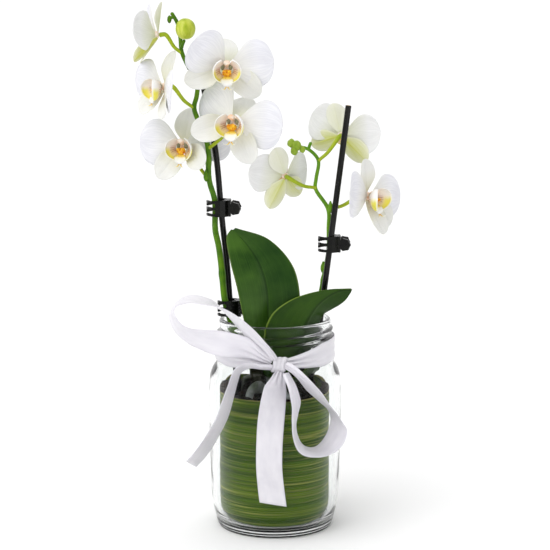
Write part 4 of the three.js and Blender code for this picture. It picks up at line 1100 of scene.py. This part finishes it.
# Each stretch follows its stations: the ribbon's middle x, y, z, the way across it and its width
RIBBON = {
    "ribbon_loop_left": [
        (-0.2, -42.3, 113.7, 0.48, -0.69, 0.55, 5), (-5.7, -45, 121.2, 0.42, -0.82, 0.38, 11),
        (-12.2, -45.4, 127.6, 0.42, -0.82, 0.38, 15), (-20.8, -43.6, 135.8, 0.34, -0.88, 0.33, 16),
        (-30.7, -39.6, 143, 0.18, -0.96, 0.2, 16), (-41.4, -35, 147.4, -0.02, -0.99, -0.1, 16),
        (-52, -31, 148.3, 0.02, -0.98, -0.12, 16), (-59, -30, 145.2, 0.06, -0.99, 0.02, 16),
        (-61.8, -31, 139.4, 0.24, -0.93, 0.26, 16), (-58.4, -33, 131.5, 0.34, -0.85, 0.4, 16),
        (-51.9, -35.4, 127, 0.27, -0.72, 0.64, 16), (-42.2, -38.4, 124.6, 0.14, -0.44, 0.88, 16),
        (-30.7, -40.4, 122.8, 0.11, -0.1, 0.99, 16), (-18.2, -41, 120.6, 0.14, -0.25, 0.96, 14),
        (-9.4, -41, 115.8, 0.2, -0.35, 0.9, 8), (-1.8, -40.7, 112.1, 0.2, -0.45, 0.85, 4.5)],
    "ribbon_loop_right": [
        (6.5, -42.6, 110.4, 0.3, -0.68, 0.67, 5), (11, -45, 108, 0.26, -0.82, 0.51, 9),
        (16, -46.4, 103.5, 0.23, -0.86, 0.46, 14), (22.3, -46, 96.3, 0.28, -0.87, 0.41, 16),
        (29.4, -42.6, 87.2, 0.33, -0.94, 0.16, 16), (35.8, -38, 78.8, 0.43, -0.89, -0.1, 16),
        (38.4, -35.4, 70.6, 0.6, -0.74, -0.26, 16), (35.2, -37, 62, 0.58, -0.78, -0.22, 16),
        (28.4, -40.6, 57.1, 0.44, -0.89, -0.12, 16), (20.6, -45.4, 58.2, 0.26, -0.95, -0.16, 16),
        (14, -49.6, 63.8, 0.02, -0.93, -0.37, 16), (11.6, -51, 72.3, -0.12, -0.95, -0.28, 16),
        (11.8, -51, 80.3, -0.24, -0.96, -0.12, 16), (12.6, -49.6, 89.2, -0.36, -0.93, 0, 15),
        (10.8, -46.6, 97.3, -0.45, -0.89, 0.1, 10), (6.5, -42.9, 105.6, -0.55, -0.82, 0.15, 5)],
    "ribbon_tail_left": [
        (-1.7, -41.1, 108.9, 0.07, -0.84, 0.54, 4.5), (-8.4, -42.4, 109.4, 0.02, -0.9, 0.42, 8),
        (-15.6, -43.4, 110.4, -0.06, -0.88, 0.46, 12), (-21.8, -44.4, 107.6, -0.22, -0.9, 0.36, 16),
        (-25.2, -44.6, 99.4, -0.38, -0.92, 0, 16), (-27.7, -43.4, 91.4, -0.44, -0.89, -0.04, 16),
        (-31.9, -39.4, 77.5, -0.44, -0.88, 0.15, 16), (-37.9, -35, 65, -0.42, -0.86, 0.28, 16),
        (-45, -31.4, 53.1, -0.43, -0.83, 0.35, 16), (-52.9, -28, 43.3, -0.36, -0.82, 0.42, 16)],
    "ribbon_tail_center": [
        (2.6, -41.5, 106.2, -0.9, -0.44, 0, 5), (1.7, -43.6, 101.6, -0.84, -0.54, 0, 11),
        (0.1, -44.6, 96, -0.86, -0.5, 0.04, 16), (-1.6, -45, 83.9, -0.97, -0.22, 0.04, 16),
        (-3.1, -44.8, 67.2, -0.98, 0.14, -0.02, 16), (-3.5, -44.2, 47.5, -0.98, 0.18, 0, 16),
        (-2.4, -43.4, 34.4, -0.98, 0.12, 0.1, 16), (-0.9, -43, 22.1, -0.96, 0.05, 0.28, 16)],
    "ribbon_neck_band": neck_stations(),
}
KNOT_X, KNOT_Y, KNOT_Z = 2.4, -39.75, 110.2


def ribbon_surface(stations, slant):
    """A stretch of ribbon along its stations, pleated where it narrows."""
    centres = [s[:3] for s in stations]
    sides = [s[3:6] for s in stations]
    widths = [[s[6], i, 0] for i, s in enumerate(stations)]

    def surface(u, v):
        at = u * (1 - slant * v)
        along = unit(spline(centres, at + 0.002) - spline(centres, at - 0.002))
        side = spline(sides, at)
        side = unit(side - along * np.sum(side * along, 1, keepdims=True))
        width = spline(widths, at)[:, :1]
        across = (v - 0.5)[:, None]
        pinch = np.clip(1 - width / RIBBON_WIDTH, 0, 1)
        pleat = 1.5 * pinch * np.cos(across * 2 * math.pi * PLEATS)
        drape = 0.35 * np.sin(at * 17)[:, None] * np.cos(across * math.pi) * (1 - pinch)
        lifted = np.cross(along, side) * (pleat + drape)
        return spline(centres, at) + side * across * width + lifted

    return surface


def knot_surface(u, v):
    """The ribbon folded lengthwise in two and wound once round the knot."""
    angle = 2 * math.pi * (0.25 + 0.985 * u)
    across = -0.5 * np.cos(2 * math.pi * v)
    under = 0.5 + 0.5 * np.tanh((v - 0.5) * 14)
    fold = 0.2 * np.cos(across * 2 * math.pi * PLEATS) + 0.3 * np.sin(angle * 2) * across
    deep = fold * (1 - under) - 0.75 * under
    x = KNOT_X + across * (8.6 - 1.2 * np.cos(angle) ** 2) + 0.6 * np.sin(angle)
    return np.stack([x, KNOT_Y + (2.6 + deep) * np.cos(angle),
                     KNOT_Z + (4.4 + deep) * np.sin(angle)], 1)


def make_ribbon():
    cloth = satin()
    for name, stations in RIBBON.items():
        track = even([s[:3] for s in stations], 300)
        length = np.linalg.norm(np.diff(track, axis=0), axis=1).sum()
        slant = TAIL_SLANT if "tail" in name else 0
        pile = Pile()
        pile.blade(int(length * 1.1), 28, ribbon_surface(stations, slant), RIBBON_THICK)
        piece = settle(pile.object(f"{name}_satin", [cloth]), "ribbon", name)
    pile = Pile()
    pile.blade(90, 60, knot_surface, WRAP_THICK)
    piece = settle(pile.object("ribbon_knot_wrap", [cloth]), "ribbon", "ribbon_knot")
    pile = Pile()
    pile.ball([KNOT_X, KNOT_Y + 0.05, KNOT_Z], [3.5, 1.35, 3.1], bump=0.05, seed=2)
    settle(pile.object("ribbon_knot_core", [cloth]), "ribbon")


# Stage, light and camera

def make_stage():
    mesh = bpy.data.meshes.new("floor")
    corners = [(-1, -1), (1, -1), (1, 1), (-1, 1)]
    mesh.from_pydata([(x * FLOOR_HALF, y * FLOOR_HALF, 0) for x, y in corners], [], [(0, 1, 2, 3)])
    mesh.materials.append(floor_skin())
    added("floor", mesh)

    world = bpy.data.worlds.new("studio")
    world.use_nodes = True
    tree = world.node_tree
    back = tree.nodes["Background"]
    back.inputs[0].default_value = (1, 1, 1, 1)
    place = tree.nodes.new("ShaderNodeTexCoord")
    split = tree.nodes.new("ShaderNodeSeparateXYZ")
    spread = tree.nodes.new("ShaderNodeMapRange")
    for index, value in ((1, -0.5), (2, 0.5), (3, WORLD_FRONT), (4, WORLD_BACK)):
        spread.inputs[index].default_value = value
    tree.links.new(place.outputs["Generated"], split.inputs[0])
    tree.links.new(split.outputs[1], spread.inputs[0])
    tree.links.new(spread.outputs[0], back.inputs[1])
    bpy.context.scene.world = world

    for name, kind, place, aim, size, power in LAMPS:
        light = bpy.data.lights.new(name, kind)
        light.energy = power
        if kind == "SUN":
            light.angle = size
        else:
            light.size = size
        lamp = added(name, light)
        lamp.location = place
        lamp.rotation_euler = (Vector(aim) - Vector(place)).to_track_quat("-Z", "Y").to_euler()


def make_camera():
    data = bpy.data.cameras.new("camera")
    data.sensor_width = SENSOR_MM
    data.lens = SENSOR_MM * FOCAL_PX / PHOTO_PX
    data.clip_start = CLIP_NEAR
    data.clip_end = CLIP_FAR
    camera = added("camera", data)
    camera.location = CAMERA_PLACE
    camera.rotation_euler = (math.radians(90 - CAMERA_DOWN_DEG), 0, 0)
    bpy.context.scene.camera = camera
    bpy.context.scene.view_settings.view_transform = "Standard"


make_jar()
make_lining()
make_crown()
make_bark()
make_leaves()
make_blooms()
make_spikes()
make_bud()
make_stakes()
make_clips()
make_ribbon()
make_stage()
make_camera()
